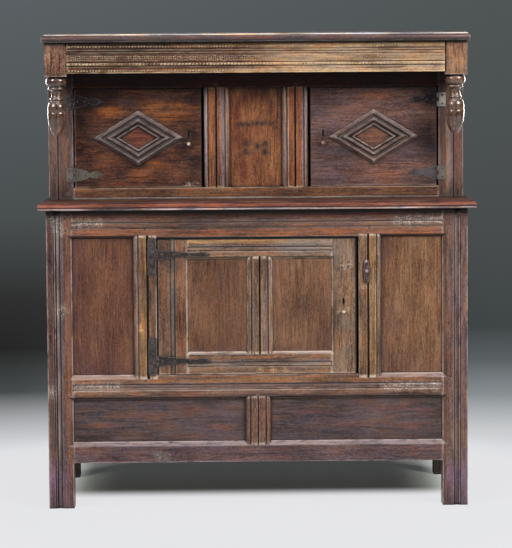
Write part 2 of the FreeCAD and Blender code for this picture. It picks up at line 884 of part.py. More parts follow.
def make_floor():
    """Floor boards of the base, side by side in the rebate of the bottom rails."""
    lap = size.tenon_trim
    half = side_in + lap
    whole_boards = int(half.number * 2 // SIZES["floor_board_width"])
    edges = [-half + size.floor_board_width * index for index in range(whole_boards + 1)] + [half]
    level = bottom_sight - size.floor_thick
    boards = []
    for low, high in zip(edges, edges[1:]):
        boards.append(box((low, high), (rail_back - lap, back_rail_front + lap), (level, bottom_sight),
                          "floor_board"))
    ahead = box((stile_in, case_half), (front, stile_back), (level, bottom_sight), "front_corner")
    behind = box((rear_in, case_half), (rear_front, back), (level, bottom_sight), "rear_corner")
    corners = [ahead, behind, mirrored(ahead), mirrored(behind)]
    boards[0] = cut(boards[0], corners, "floor_board_left")
    boards[-1] = cut(boards[-1], corners, "floor_board_right")
    node(group(boards), "floor_boards")


# Ledge and top boards

# The thumb moulding's fillet and flat as shares of the board's thickness, its rise as a share of its width,
# and the easing under it as a share of the fillet
NOSE_SHARES = {"fillet": 0.12, "flat": 0.34, "rise": 0.3, "easing": 0.5}


def nose_cutters(half, y_front, top, thick, nose, behind):
    """Cutters for a thumb moulding along the front edge and both ends of a board."""
    fillet, flat = thick * NOSE_SHARES["fillet"], thick * NOSE_SHARES["flat"]

    def outline(edge, inward):
        """Waste outside the moulding, from the edge inward."""
        over = size.edge_moulding
        away = moved(edge, -inward, over)
        rise = nose * NOSE_SHARES["rise"]
        return [
            (away, top + over),
            (moved(edge, inward, nose), top + over),
            (moved(edge, inward, nose), top - fillet),
            (edge, top - thick + flat, rise if inward < 0 else -rise),
            (moved(edge, inward, fillet * NOSE_SHARES["easing"]), top - thick),
            (away, top - thick),
        ]

    over = size.edge_moulding
    along_front = stick("X", (-(half + over), half + over), outline(y_front, 1), "front_waste")
    along_side = stick("Y", (y_front - over, behind + over), outline(half, -1), "side_waste")
    return [along_front, along_side, mirrored(along_side)]


def make_ledge(stile_mortises):
    """Two ledge boards, moulded on the front and the ends, let in round the rear stiles."""
    level = (base_top, size.base_height)
    waste = nose_cutters(ledge_half, ledge_front, size.base_height, size.ledge_thick, size.ledge_nose, back)
    ahead = box((-ledge_half, ledge_half), (ledge_front, board_joint), level, "ledge_front_blank")
    node(cut(ahead, [*waste, *stile_mortises]), "ledge_front_board")
    behind = box((-ledge_half, ledge_half), (board_joint, back), level, "ledge_rear_blank")
    notch = box((rear_in, case_half), (rear_front, back), level, "rear_notch")
    node(cut(behind, [*waste, notch, mirrored(notch)]), "ledge_rear_board")


def make_top():
    """Two top boards with a moulded edge."""
    level = (canopy_top, overall_height)
    y_front = front - size.top_overhang
    waste = nose_cutters(top_half, y_front, overall_height, size.top_thick, size.top_nose, back)
    ahead = box((-top_half, top_half), (y_front, board_joint), level, "top_front_blank")
    behind = box((-top_half, top_half), (board_joint, back), level, "top_rear_blank")
    node(group([cut(ahead, waste, "top_front"), cut(behind, waste, "top_rear")]), "top_boards")


# Upper stage

UPPER_RAILS = {
    "upper_bottom_rail": (size.base_height, upper_low),
    "upper_top_rail": (upper_high, soffit_low),
}


def upper_stile_tenon():
    """The tenon at the head of the right upper stile, and its mortise in the canopy's side rail."""
    x_span = centred(side_in, size.side_thick, size.tenon_thick)
    y_span = trimmed((upper_front, upper_back))
    return tenon("Z", soffit_low, 1, x_span, y_span)


def upper_foot_tenon():
    """The tenon at the foot of the right upper stile, and its mortise in the ledge."""
    x_span = trimmed((stile_in, case_half))
    y_span = centred(upper_front, size.upper_thick, size.tenon_thick)
    return tenon("Z", size.base_height, -1, x_span, y_span, size.stub_tenon)


def upper_peg_spots():
    """X and Z of the pegs in the upper frame."""
    spots = []
    in_stile = stile_in + size.tenon_length / 2
    in_rail = size.stub_tenon / 2
    for low, high in UPPER_RAILS.values():
        spots += [(side, (low + high) / 2) for side in both_sides(in_stile)]
    for side in both_sides((upper_panel_half + upper_muntin_out) / 2):
        spots.append((side, upper_high + in_rail))
        spots.append((side, upper_low - in_rail))
    return spots


UPPER_LINE_SHARE = 0.38


def make_upper_front(side_mortises, side_grooves):
    """Upper stiles, rails, muntins and the fixed panel between the doors."""
    blanks, tenons, stile_mortises = rails_between(UPPER_RAILS, stile_in, upper_front, size.upper_thick, {})
    tenon_y = centred(upper_front, size.upper_thick, size.tenon_thick)
    span = (upper_panel_half, upper_muntin_out)
    middle = (upper_panel_half + upper_muntin_out) / 2
    outline = moulded_outline(upper_front, size.upper_thick, span, double_moulded(span, middle))
    muntin, muntin_mortises = scribed_muntin(
        span, (upper_low, upper_high), (ZERO, ZERO), outline,
        list(blanks.values()), tenon_y, "upper_muntin", size.stub_tenon)

    board, groove = panel((-upper_panel_half, upper_panel_half), (upper_low, upper_high), upper_front,
                          size.panel_setback, size.panel_thick, size.panel_tongue, "upper_panel")
    node(board, "upper_panel")
    pegs = group([peg("Y", upper_front, 1, spot) for spot in upper_peg_spots()], "upper_pegs")
    rail_mortises = [*muntin_mortises, *[mirrored(piece) for piece in muntin_mortises]]
    for name, blank in blanks.items():
        whole = fuse([blank, *tenons[name]], f"{name}_whole")
        node(cut(whole, [groove, pegs, *rail_mortises]), name)

    face_line = vee(case_half - size.stile_width * UPPER_LINE_SHARE)
    outline = stile_outline(upper_front, size.upper_thick, (stile_in, case_half), face_line)
    blank = stick("Z", (size.base_height, soffit_low), outline, "upper_stile")
    head, _ = upper_stile_tenon()
    foot, foot_mortise = upper_foot_tenon()
    whole = fuse([blank, head, foot], "upper_stile_whole")
    right = cut(whole, [*stile_mortises, *side_mortises, *side_grooves, pegs], "upper_stile_cut")
    node(mirrored(right), "upper_stile_left")
    node(right, "upper_stile_right")
    return cut(muntin, [groove, pegs], "upper_muntin_grooved"), [foot_mortise, mirrored(foot_mortise)], pegs


# Canopy

# The frieze from its lower edge up: a quirk, a raised fillet, a sunk band, two reeds and a sunk top band
FRIEZE_SHARES = [
    (0.21, 0), (0.225, 1), (0.245, 0),
    (0.33, 0), (0.345, 1), (0.365, 0.45),
    (0.595, 0.45), (0.62, 1), (0.69, 1, -0.75), (0.705, 1), (0.775, 1, -0.75),
    (0.8, 0.45), (0.92, 0.45), (0.935, 0),
]

# The pendant from the block down, in shares of its radius and of its drop
PENDANT_SHARES = {
    "groove": [(0.8, 0), (0.8, 0.012)],
    "roll": [(0.9, 0.022), (0.985, 0.055), (1, 0.095), (0.965, 0.135), (0.85, 0.165)],
    "ring": [(0.71, 0.172), (0.8, 0.188), (0.8, 0.22)],
    "neck": [(0.53, 0.243), (0.49, 0.29), (0.52, 0.345)],
    "second ring": [(0.62, 0.37), (0.64, 0.392), (0.56, 0.41)],
    "shoulder": [(0.6, 0.42), (0.76, 0.45), (0.86, 0.495), (0.9, 0.575)],
    "cut bead": [(0.855, 0.584), (0.905, 0.594), (0.855, 0.606), (0.895, 0.617)],
    "taper": [(0.88, 0.71), (0.815, 0.8), (0.695, 0.885), (0.51, 0.96), (0.35, 1)],
}


def pendant_profile():
    """Half outline of the pendant and of the spigot that holds it in the block."""
    spigot = size.pendant_spigot_radius
    outline = [(ZERO, size.stub_tenon), (spigot, size.stub_tenon), (spigot, ZERO)]
    for form in PENDANT_SHARES.values():
        outline += [(size.pendant_radius * out, -(size.pendant_length * down)) for out, down in form]
    return outline + [(ZERO, -size.pendant_length)]


def make_canopy():
    """Frieze rail, corner posts with turned pendants, and the soffit board."""
    levels = run_moulding(FRIEZE_SHARES, frieze_low, size.frieze_height, size.channel_depth)
    outline = rail_outline(front, size.frieze_thick, (frieze_low, canopy_top), levels)
    blank = stick("X", (-post_in, post_in), outline, "frieze")
    tenon_y = centred(front, size.frieze_thick, size.tenon_thick)
    z_span = trimmed((frieze_low, canopy_top))
    right, frieze_mortise = tenon("X", post_in, 1, tenon_y, z_span)
    left, _ = tenon("X", -post_in, -1, tenon_y, z_span)

    lap = size.groove_depth
    soffit_y = (front + size.frieze_thick - lap, upper_back)
    level = (soffit_low, soffit_low + size.soffit_thick)
    soffit = box((-side_in, side_in), soffit_y, level, "soffit")
    clear_of_posts = box((post_in, case_half), (front, post_back), level, "post_room")
    node(cut(soffit, [clear_of_posts, mirrored(clear_of_posts)]), "soffit_board")
    groove = box((-post_in, post_in), soffit_y, level, "soffit_groove")

    peg_x = post_in + size.tenon_length / 2
    spots = [(side, z) for side in both_sides(peg_x) for z in two_levels((frieze_low, canopy_top))]
    pegs = group([peg("Y", front, 1, spot) for spot in spots], "frieze_pegs")
    node(cut(fuse([blank, left, right], "frieze_whole"), [groove, pegs]), "frieze_rail")

    ease = size.post_chamfer
    outline = [
        (post_in + ease, front),
        (case_half - ease, front),
        (case_half, front + ease),
        (case_half, post_back),
        (post_in, post_back),
        (post_in, front + ease),
    ]
    block = stick("Z", (post_low, canopy_top), outline, "post_block")
    pendant = turned(pendant_profile(), "pendant")
    for letter, spot in zip("xyz", ((post_in + case_half) / 2, (front + post_back) / 2, post_low)):
        bind(pendant, f"Placement.Base.{letter}", spot)
    side_x = centred(side_in, size.side_thick, size.tenon_thick)
    side_mortise = tenon("Y", post_back, -1, side_x, trimmed((soffit_low, canopy_top)), size.stub_tenon)[1]
    whole = fuse([block, pendant], "post_whole")
    post = cut(whole, [frieze_mortise, side_mortise, pegs], "post_cut")
    node(mirrored(post), "pendant_post_left")
    node(post, "pendant_post_right")
    return pegs


# Doors

def keyhole(x, y_span, z):
    """Cutter for a keyhole: a round head over a slot."""
    head_z = z + size.key_height / 2 - size.key_radius
    head = rod("Y", (x, head_z), y_span, size.key_radius, "key_head")
    slot = box((x - size.key_slot / 2, x + size.key_slot / 2), y_span,
               (z - size.key_height / 2, head_z), "key_slot")
    return fuse([head, slot], "keyhole")


# The knob from the door outwards, in shares of its radius and length: a neck, then a head that flares
KNOB_SHARES = [(0, 0), (0.45, 0), (0.45, 0.5), (1, 0.66), (0.75, 1), (0, 1)]


def knob(x, face, z, name):
    """A small forged knob on the door's face."""
    item = turned([(size.knob_radius * out, size.knob_length * up) for out, up in KNOB_SHARES], name)
    item.Placement.Rotation = FreeCAD.Rotation(FreeCAD.Vector(1, 0, 0), 90)
    for letter, spot in zip("xyz", (x, face, z)):
        bind(item, f"Placement.Base.{letter}", spot)
    return item


def lock(x_edge, direction, door_back, z, name):
    """Lock case on the inside of a door, its bolt, and the room that the bolt needs in the frame."""
    near = moved(x_edge, -direction, size.lock_set_in)
    far = moved(near, -direction, size.lock_width)
    x_span = (far, near) if direction > 0 else (near, far)
    case = box(x_span, (door_back, door_back + size.lock_thick),
               (z - size.lock_height / 2, z + size.lock_height / 2), f"{name}_case")
    middle = door_back + size.lock_thick / 2
    tip = moved(x_edge, -direction, size.bolt_set_in)
    tail = moved(tip, -direction, size.bolt_length)

    def bolt_room(start, end, clear, label):
        """A block of the bolt's section, from start to end, with clearance round it."""
        span = (start, end) if start.number < end.number else (end, start)
        half_thick, half_high = size.bolt_thick / 2 + clear, size.bolt_height / 2 + clear
        return box(span, (middle - half_thick, middle + half_thick), (z - half_high, z + half_high), label)

    bolt = bolt_room(tail, tip, ZERO, f"{name}_bolt")
    slot = bolt_room(moved(tail, -direction, size.bolt_clearance), moved(tip, direction, size.bolt_throw),
                     size.bolt_clearance, f"{name}_slot")
    socket = bolt_room(tip, moved(tip, direction, size.bolt_throw + size.lock_set_in),
                       size.socket_clearance, f"{name}_socket")
    return cut(case, [slot], f"{name}_hollow"), bolt, socket


def hinge(x_pin, face, z, barrel, plate_outline, leaf_outline):
    """Hinge with a plate on the frame to the left of the pin, and a leaf on the door to the right.

    The pin is riveted in the two outer knuckles, and the door's knuckle turns on it.
    """
    y_pin = face - size.pin_proud
    low = z - barrel / 2
    third = barrel / 3
    gap = size.knuckle_gap / 2
    leaf_y = (face - size.leaf_thick, face)
    ear_y = (face - size.leaf_thick, face - (size.pin_proud - size.barrel_radius))
    plate = stick("Y", leaf_y, plate_outline, "hinge_plate")
    leaf = stick("Y", leaf_y, leaf_outline, "hinge_leaf")
    pin_span = (low + gap, low + barrel - gap)
    pin = rod("Z", (x_pin, y_pin), pin_span, size.pin_radius, "hinge_pin")
    bore = rod("Z", (x_pin, y_pin), pin_span, size.pin_radius + size.pin_clearance, "door_bore")
    frame_parts, door_parts = [plate, pin], [leaf]
    for index in range(3):
        span = (low + third * index + gap, low + third * (index + 1) - gap)
        on_door = index == 1
        knuckle = rod("Z", (x_pin, y_pin), span, size.barrel_radius, "knuckle")
        reach = x_pin + size.leaf_stand if on_door else x_pin - size.leaf_stand
        ear = box((x_pin, reach) if on_door else (reach, x_pin), ear_y, span, "ear")
        (door_parts if on_door else frame_parts).extend([knuckle, ear])
    return fuse(frame_parts, "frame_hinge"), cut(fuse(door_parts, "door_hinge"), [bore], "door_hinge_bored")


def upper_plate(x_pin, z):
    """Outline of the plate on the upper stile, in (X, Z)."""
    right = x_pin - size.leaf_stand
    left = right - size.upper_plate_width
    half = size.upper_barrel / 2
    return [(left, z - half), (right, z - half), (right, z + half), (left, z + half)]


# Upper edges of the leaves on the doors: share of the reach, and share of half the barrel
SPEAR_SHARES = [(0, 0.98), (0.4, 0.6), (0.5, 0.2), (0.58, 0.42), (0.74, 0.52), (1, 0)]
STRAP_SHARES = [(0, 0.95), (0.2, 0.72), (0.5, 0.42), (0.72, 0.26), (0.8, 0.5), (0.88, 0.44), (1, 0)]


def tapered_leaf(shares, x_pin, z, length, barrel):
    """Outline of a leaf that is broad at the pin, narrows to a neck and ends in a spear point."""
    start = x_pin + size.leaf_stand
    reach, half = length - size.leaf_stand, barrel / 2
    upper = [(start + reach * along, z + half * up) for along, up in shares]
    lower = [(start + reach * along, z - half * up) for along, up in shares[:-1]]
    return lower + upper[::-1]


def spear_leaf(x_pin, z):
    """Outline of the upper door's leaf."""
    return tapered_leaf(SPEAR_SHARES, x_pin, z, size.upper_leaf_length, size.upper_barrel)


def strap_leaf(x_pin, z):
    """Outline of the lower door's strap."""
    return tapered_leaf(STRAP_SHARES, x_pin, z, size.strap_length, size.strap_barrel)


PLATE_NICK_SHARE = 0.2


def muntin_plate(x_pin, low, high):
    """Outline of the tall plate on the base muntin."""
    right = x_pin - size.leaf_stand
    left = right - size.muntin_plate_width
    nick = size.muntin_plate_width * PLATE_NICK_SHARE
    return [(left + nick, low), (right, low), (right, high), (left + nick, high), (left, high - nick),
            (left, low + nick)]


# Section of the lozenge's moulding from its inner edge outwards: share of the width inwards, share of the
# thickness, and the rise of an arc as a share of the thickness, round when it is positive
LOZENGE_SHARES = [
    (1, 0.25), (0.9, 0.6, 0.1), (0.8, 0.25), (0.72, 0.75), (0.55, 0.9, 0.12), (0.46, 0.35), (0.34, 0.35),
    (0.3, 0.8), (0.12, 0.75, 0.15), (0, 0.3),
]


def lozenge_quarter(x_mid, z_mid, face, half_long, half_high):
    """One mitred length of the lozenge's moulding, in the upper right quarter."""
    width, thick = size.lozenge_moulding, size.lozenge_thick
    body = doc.addObject("PartDesign::Body", "lozenge_length")
    outline = [(ZERO, ZERO), (ZERO, -width)]
    for inward, proud, *bend in LOZENGE_SHARES:
        outline.append((-(thick * proud), -(width * inward), *[thick * share for share in bend]))
    profile = body_sketch(body, "YZ_Plane", outline, "lozenge_section")
    pad = body.newObject("PartDesign::Pad", "lozenge_run")
    pad.Profile = profile
    pad.SideType = "Symmetric"
    bind(pad, "Length", (half_long + half_high) * 2)
    body.Tip = pad
    middle = (x_mid + half_long / 2, face, z_mid + half_high / 2)
    for letter, spot in zip("xyz", middle):
        bind(body, f"Placement.Base.{letter}", spot)
    body.Placement.Rotation = FreeCAD.Rotation(FreeCAD.Vector(0, 1, 0), 1)
    body.setExpression("Placement.Rotation.Angle", f"atan({half_high.text} / {half_long.text})")
    quarter = box((x_mid, x_mid + half_long), (face - thick, face), (z_mid, z_mid + half_high), "quarter")
    piece = doc.addObject("Part::Common", "lozenge_piece")
    piece.Base = body
    piece.Tool = quarter
    return piece


def make_lozenge(x_span, z_span, face):
    """Four mitred lengths round an open diamond, in the middle of a door."""
    x_mid, z_mid = (x_span[0] + x_span[1]) / 2, (z_span[0] + z_span[1]) / 2
    half_long = place("lozenge_half_long", (x_span[1] - x_span[0]) / 2 - size.lozenge_end_margin)
    half_high = place("lozenge_half_high", (z_span[1] - z_span[0]) / 2 - size.lozenge_side_margin)
    first = lozenge_quarter(x_mid, z_mid, face, half_long, half_high)
    second = mirrored(first, MIRROR_X, x_mid, "lozenge_left")
    return group([first, second, mirrored(first, MIRROR_Z, z_mid, "lozenge_low"),
                  mirrored(second, MIRROR_Z, z_mid, "lozenge_low_left")], "lozenge")


def make_upper_doors():
    """The left upper door and its hardware, then the same mirrored for the right."""
    x_span = (-(stile_in - size.upper_hinge_gap), -(upper_muntin_out + size.lock_gap))
    z_span = (upper_low + size.door_play, upper_high - size.door_play)
    door_back = upper_front + size.upper_door_thick
    key_x, key_z = x_span[1] - size.key_inset, (z_span[0] + z_span[1]) / 2 + size.key_rise
    board = box(x_span, (upper_front, door_back), z_span, "upper_door_blank")
    case, bolt, socket = lock(x_span[1], 1, door_back, key_z, "upper_lock")
    hole = keyhole(key_x, (upper_front, door_back), key_z)
    board = cut(board, [hole], "upper_door_keyed")

    x_pin = x_span[0] - size.upper_hinge_gap / 2
    frame_sets, leaves = [], []
    for level in (z_span[0] + size.upper_hinge_inset, z_span[1] - size.upper_hinge_inset):
        frame_side, door_side = hinge(x_pin, upper_front, level, size.upper_barrel,
                                      upper_plate(x_pin, level), spear_leaf(x_pin, level))
        frame_sets.append(frame_side)
        leaves.append(door_side)
    pieces = {
        "board": board,
        "lozenge": make_lozenge(x_span, z_span, upper_front),
        "hinges": group(leaves, "upper_leaves"),
        "lock_case": case,
        "bolt": bolt,
        "knob": knob(key_x, upper_front, key_z - size.knob_drop, "upper_knob"),
    }
    for name, piece in pieces.items():
        node(piece, f"upper_left_door_{name}")
        node(mirrored(piece), f"upper_right_door_{name}")
    return frame_sets, socket


# The door's mouldings as shares of the frame's, and where its channels start as shares of their sticks
DOOR_SHARES = {"channel": 0.8, "bevel width": 0.65, "bevel depth": 0.7}
DOOR_CHANNEL_SHARES = {"low": 0.3, "high": 0.34, "hinge stile": 0.4}


def make_lower_door():
    """The framed lower door with its straps, lock and knob."""
    x_span = (-(bay_half - size.lower_hinge_gap), bay_half - size.lock_gap)
    z_span = (bay_low + size.door_play, bay_high - size.door_play)
    thick, face = size.lower_door_thick, front
    door_back = face + thick
    left_in, right_in = x_span[0] + size.door_hinge_stile, x_span[1] - size.door_lock_stile
    sight_low, sight_high = z_span[0] + size.door_bottom_rail, z_span[1] - size.door_top_rail
    tenon_y = centred(face, thick, size.door_tenon_thick)

    rails, tenons, mortises = {}, [], []
    narrow = size.channel_width * DOOR_SHARES["channel"]
    for name, span in (("low", (z_span[0], sight_low)), ("high", (sight_high, z_span[1]))):
        start = span[0] + (span[1] - span[0]) * DOOR_CHANNEL_SHARES[name]
        outline = rail_outline(face, thick, span, reed_channel(start, narrow))
        rails[name] = stick("X", (left_in, right_in), outline, f"door_rail_{name}")
        for shoulder, direction in ((left_in, -1), (right_in, 1)):
            piece, mortise = tenon("X", shoulder, direction, tenon_y, trimmed(span), size.door_tenon)
            tenons.append((name, piece))
            mortises.append(mortise)

    slim = size.bevel_width * DOOR_SHARES["bevel width"]
    shallow = size.bevel_depth * DOOR_SHARES["bevel depth"]
    bevel = bevels((left_in, right_in), (sight_low, sight_high), face, (slim, slim, slim, slim), shallow)
    bevelled = {name: cut(rail, [bevel], "door_rail_bevelled") for name, rail in rails.items()}
    middle = (left_in + right_in) / 2
    muntin_x = (middle - size.door_muntin_width / 2, middle + size.door_muntin_width / 2)
    outline = moulded_outline(face, thick, muntin_x, double_moulded(muntin_x, middle))
    muntin, muntin_mortises = scribed_muntin(muntin_x, (sight_low, sight_high), (slim, slim), outline,
                                             list(bevelled.values()), tenon_y, "door_muntin",
                                             size.stub_tenon)
    boards, grooves = [], []
    for span in ((left_in, muntin_x[0]), (muntin_x[1], right_in)):
        board, groove = panel(span, (sight_low, sight_high), face, size.door_panel_setback,
                              size.door_panel_thick, size.door_panel_tongue, "door_panel")
        boards.append(board)
        grooves.append(groove)

    low_levels, high_levels = two_levels((z_span[0], sight_low)), two_levels((sight_high, z_span[1]))
    hinge_x, lock_x = left_in - size.door_tenon / 2, right_in + size.door_tenon / 2
    peg_spots = [(hinge_x, low_levels[0]), (hinge_x, high_levels[1])]
    peg_spots += [(lock_x, level) for level in (*low_levels, *high_levels)]
    pegs = [peg("Y", face, 1, spot) for spot in peg_spots]
    for item in pegs:
        bind(item, "Height", thick + size.peg_proud)
    pegs = group(pegs, "door_pegs")

    finished = []
    for name, rail in bevelled.items():
        own = [piece for owner, piece in tenons if owner == name]
        whole = fuse([rail, *own], "door_rail_whole")
        finished.append(cut(whole, [*grooves, *muntin_mortises, pegs], "door_rail_cut"))

    key_x, key_z = x_span[1] - size.key_inset, (z_span[0] + z_span[1]) / 2 + size.key_rise
    hole = keyhole(key_x, (face, door_back), key_z)
    channel = reed_channel(x_span[0] + size.door_hinge_stile * DOOR_CHANNEL_SHARES["hinge stile"], narrow)
    hinge_stile = stick("Z", z_span, stile_outline(face, thick, (x_span[0], left_in), channel), "hinge_stile")
    lock_stile = box((right_in, x_span[1]), (face, door_back), z_span, "lock_stile")
    cutters = [*mortises, *grooves, bevel, pegs, hole]
    stiles = [cut(piece, cutters, "door_stile_cut") for piece in (hinge_stile, lock_stile)]
    case, bolt, socket = lock(x_span[1], 1, door_back, key_z, "lower_lock")

    x_pin = x_span[0] - size.lower_hinge_gap / 2
    frame_sets, straps = [], []
    levels = (z_span[0] + size.strap_inset_bottom, z_span[1] - size.strap_inset_top)
    plates = ((z_span[0], z_span[0] + size.muntin_plate_height),
              (z_span[1] - size.muntin_plate_height, z_span[1]))
    for level, (low, high) in zip(levels, plates):
        frame_side, door_side = hinge(x_pin, face, level, size.strap_barrel,
                                      muntin_plate(x_pin, low, high), strap_leaf(x_pin, level))
        frame_sets.append(frame_side)
        straps.append(door_side)

    node(group(stiles), "lower_door_stiles")
    node(group(finished), "lower_door_rails")
    node(cut(muntin, grooves, "door_muntin_grooved"), "lower_door_muntin")
    node(group(boards), "lower_door_panels")
    node(pegs, "lower_door_pegs")
    node(group(straps), "lower_door_straps")
    node(case, "lower_door_lock_case")
    node(bolt, "lower_door_bolt")
    node(knob(key_x, face, key_z - size.knob_drop, "lower_knob"), "lower_door_knob")
    return frame_sets, socket


def make_stops():
    """Small blocks behind the free top corner of each door."""
    stops = []
    gap = size.stop_gap
    door_back = upper_front + size.upper_door_thick + gap
    x = -(upper_muntin_out + size.stop_length)
    upper = box((x - size.stop_length, x), (door_back, upper_back),
                (upper_high - size.stop_height, upper_high), "upper_stop")
    stops += [upper, mirrored(upper)]
    x = bay_half - size.stop_length
    stops.append(box((x - size.stop_length, x), (front + size.lower_door_thick + gap, rail_back),
                     (bay_high - size.stop_height, bay_high), "lower_stop"))
    node(group(stops), "door_stops")


# Right half of the turn button from its lower end up: share of half the width and of half the length
BUTTON_SHARES = [(0.6, -1), (0.75, -0.5), (1, -0.12), (1, 0.12), (0.75, 0.5), (0.6, 1)]
BUTTON_CROWN_SHARE = 0.3
BUTTON_HEAD_SHARE = 0.6


def make_button():
    """Turn button on the right base muntin, and the pin that it turns on."""
    key_z = (bay_low + bay_high) / 2 + size.key_rise
    x, z = bay_half + size.button_shift, key_z + size.button_over_key
    wide = size.button_width / 2
    crown = wide * BUTTON_CROWN_SHARE
    half = size.button_length / 2 - crown
    hole_radius = size.button_pin_radius + size.pin_clearance
    y_back = front - size.button_clearance
    right = [(x + wide * out, z + half * up) for out, up in BUTTON_SHARES]
    left = [(x - wide * out, z + half * up) for out, up in reversed(BUTTON_SHARES)]
    outline = [(*right[0], -crown), *right[1:], (*left[0], -crown), *left[1:]]
    plate = stick("Y", (y_back - size.button_thick, y_back), outline, "button_plate")
    bore = rod("Y", (x, z), (y_back - size.button_thick, y_back), hole_radius, "button_bore")
    node(cut(plate, [bore]), "turn_button")
    head_y = y_back - size.button_thick - size.button_clearance
    shaft = rod("Y", (x, z), (head_y, front + size.stub_tenon), size.button_pin_radius, "button_shaft")
    head = doc.addObject("Part::Cone", "button_head")
    bind(head, "Radius1", size.button_pin_head)
    bind(head, "Radius2", size.button_pin_head * BUTTON_HEAD_SHARE)
    bind(head, "Height", size.button_pin_radius)
    head.Placement.Rotation = FreeCAD.Rotation(FreeCAD.Vector(1, 0, 0), 90)
    for letter, spot in zip("xyz", (x, head_y, z)):
        bind(head, f"Placement.Base.{letter}", spot)
    node(fuse([shaft, head]), "button_pin")
    return shaft


def build():
    """Make every sub-part."""
    side_front, side_rear, side_grooves, side_pegs = make_sides()
    base_muntin, mortises, cutters, base_pegs = make_base_front()
    make_front_stiles(mortises, cutters, side_front[:3], side_grooves[:3])
    make_back(side_rear, side_grooves, side_pegs)
    make_floor()
    upper_muntin, foot_mortises, upper_pegs = make_upper_front([side_front[3]], [side_grooves[3]])
    make_ledge(foot_mortises)
    frieze_pegs = make_canopy()
    make_top()
    upper_sets, upper_socket = make_upper_doors()
    lower_sets, lower_socket = make_lower_door()
    make_stops()
    shaft = make_button()

    left_upper = cut(mirrored(upper_muntin, name="upper_muntin_blank"), [upper_socket], "upper_muntin_locked")
    node(left_upper, "upper_muntin_left")
    node(mirrored(left_upper), "upper_muntin_right")
    node(mirrored(base_muntin), "base_muntin_left")
    node(cut(base_muntin, [lower_socket, shaft]), "base_muntin_right")
    node(group([base_pegs, upper_pegs, frieze_pegs, side_pegs, mirrored(side_pegs)]), "frame_pegs")
    plates = [*upper_sets, *[mirrored(item) for item in upper_sets], *lower_sets]
    node(group(plates), "hinge_frame_plates")


def check_and_write():
    """Stop if any object failed, then write one file per sub-part."""
    doc.recompute()
    for item in doc.Objects:
        if "Invalid" in item.State or "Error" in item.State:
            raise RuntimeError(f"{item.Label} failed: {item.State}")
    for item in NODES:
        if item.Shape.isNull() or not item.Shape.isValid():
            raise RuntimeError(f"{item.Label} has no valid shape")
    os.makedirs("parts", exist_ok=True)
    for item in NODES:
        item.Shape.exportStep(f"parts/{item.Label}.step")
        print(f"{item.Label}: {len(item.Shape.Solids)} solids, {len(item.Shape.Faces)} faces")
    print(f"{len(NODES)} sub-parts")


build()
check_and_write()
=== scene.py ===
"""The looks of a court cupboard in waxed oak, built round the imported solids.

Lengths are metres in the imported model's frame: +Z up, the doors face -Y. Colours are written
as 0 to 255, as a picture shows them, and turned into linear light by rgb().
"""
import math
import random

import bmesh
import bpy
from mathutils import Matrix, Vector


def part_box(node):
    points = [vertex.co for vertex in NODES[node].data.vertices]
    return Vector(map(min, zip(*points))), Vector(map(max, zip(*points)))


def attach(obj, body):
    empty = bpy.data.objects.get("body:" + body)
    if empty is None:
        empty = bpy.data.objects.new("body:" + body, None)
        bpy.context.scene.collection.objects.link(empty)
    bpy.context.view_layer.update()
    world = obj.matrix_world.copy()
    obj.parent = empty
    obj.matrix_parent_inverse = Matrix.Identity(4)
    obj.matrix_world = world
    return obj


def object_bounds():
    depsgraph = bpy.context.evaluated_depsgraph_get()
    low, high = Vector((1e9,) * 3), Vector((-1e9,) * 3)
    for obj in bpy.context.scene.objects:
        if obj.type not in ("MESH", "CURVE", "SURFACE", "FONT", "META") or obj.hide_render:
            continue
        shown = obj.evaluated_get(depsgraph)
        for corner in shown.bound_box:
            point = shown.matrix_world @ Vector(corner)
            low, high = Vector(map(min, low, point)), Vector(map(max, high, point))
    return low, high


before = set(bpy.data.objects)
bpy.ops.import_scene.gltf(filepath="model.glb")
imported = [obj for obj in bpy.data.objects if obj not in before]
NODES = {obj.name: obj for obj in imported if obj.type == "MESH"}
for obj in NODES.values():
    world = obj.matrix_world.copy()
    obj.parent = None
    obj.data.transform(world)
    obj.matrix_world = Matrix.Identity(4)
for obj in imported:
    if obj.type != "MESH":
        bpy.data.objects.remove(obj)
bpy.context.scene.view_settings.view_transform = "Standard"
CAD_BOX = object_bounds()

# Camera, fitted to the photograph
CAMERA_PLACE = (-0.072, -6.248, 1.386)
CAMERA_YAW = 0.663
CAMERA_PITCH = 3.32
CAMERA_ROLL = -0.391
CAMERA_LENS = 121.2
CAMERA_SHIFT = -0.15
CAMERA_SENSOR = 36
CAMERA_REACH = 60

# Planes that the added details sit on
FRONT = -0.248
UPPER_FRONT = -0.128
# Height of the painted shadow line under the ledge
LEDGE_SHADOW_Z = 0.977
# Axes of the bands and lines
X, Z = 0, 2


def rgb(red, green, blue):
    """A picture's colour as linear light with an alpha of one."""
    linear = []
    for value in (red, green, blue):
        share = value / 255
        linear.append(share / 12.92 if share <= 0.04045 else ((share + 0.055) / 1.055) ** 2.4)
    return (*linear, 1.0)


# Materials

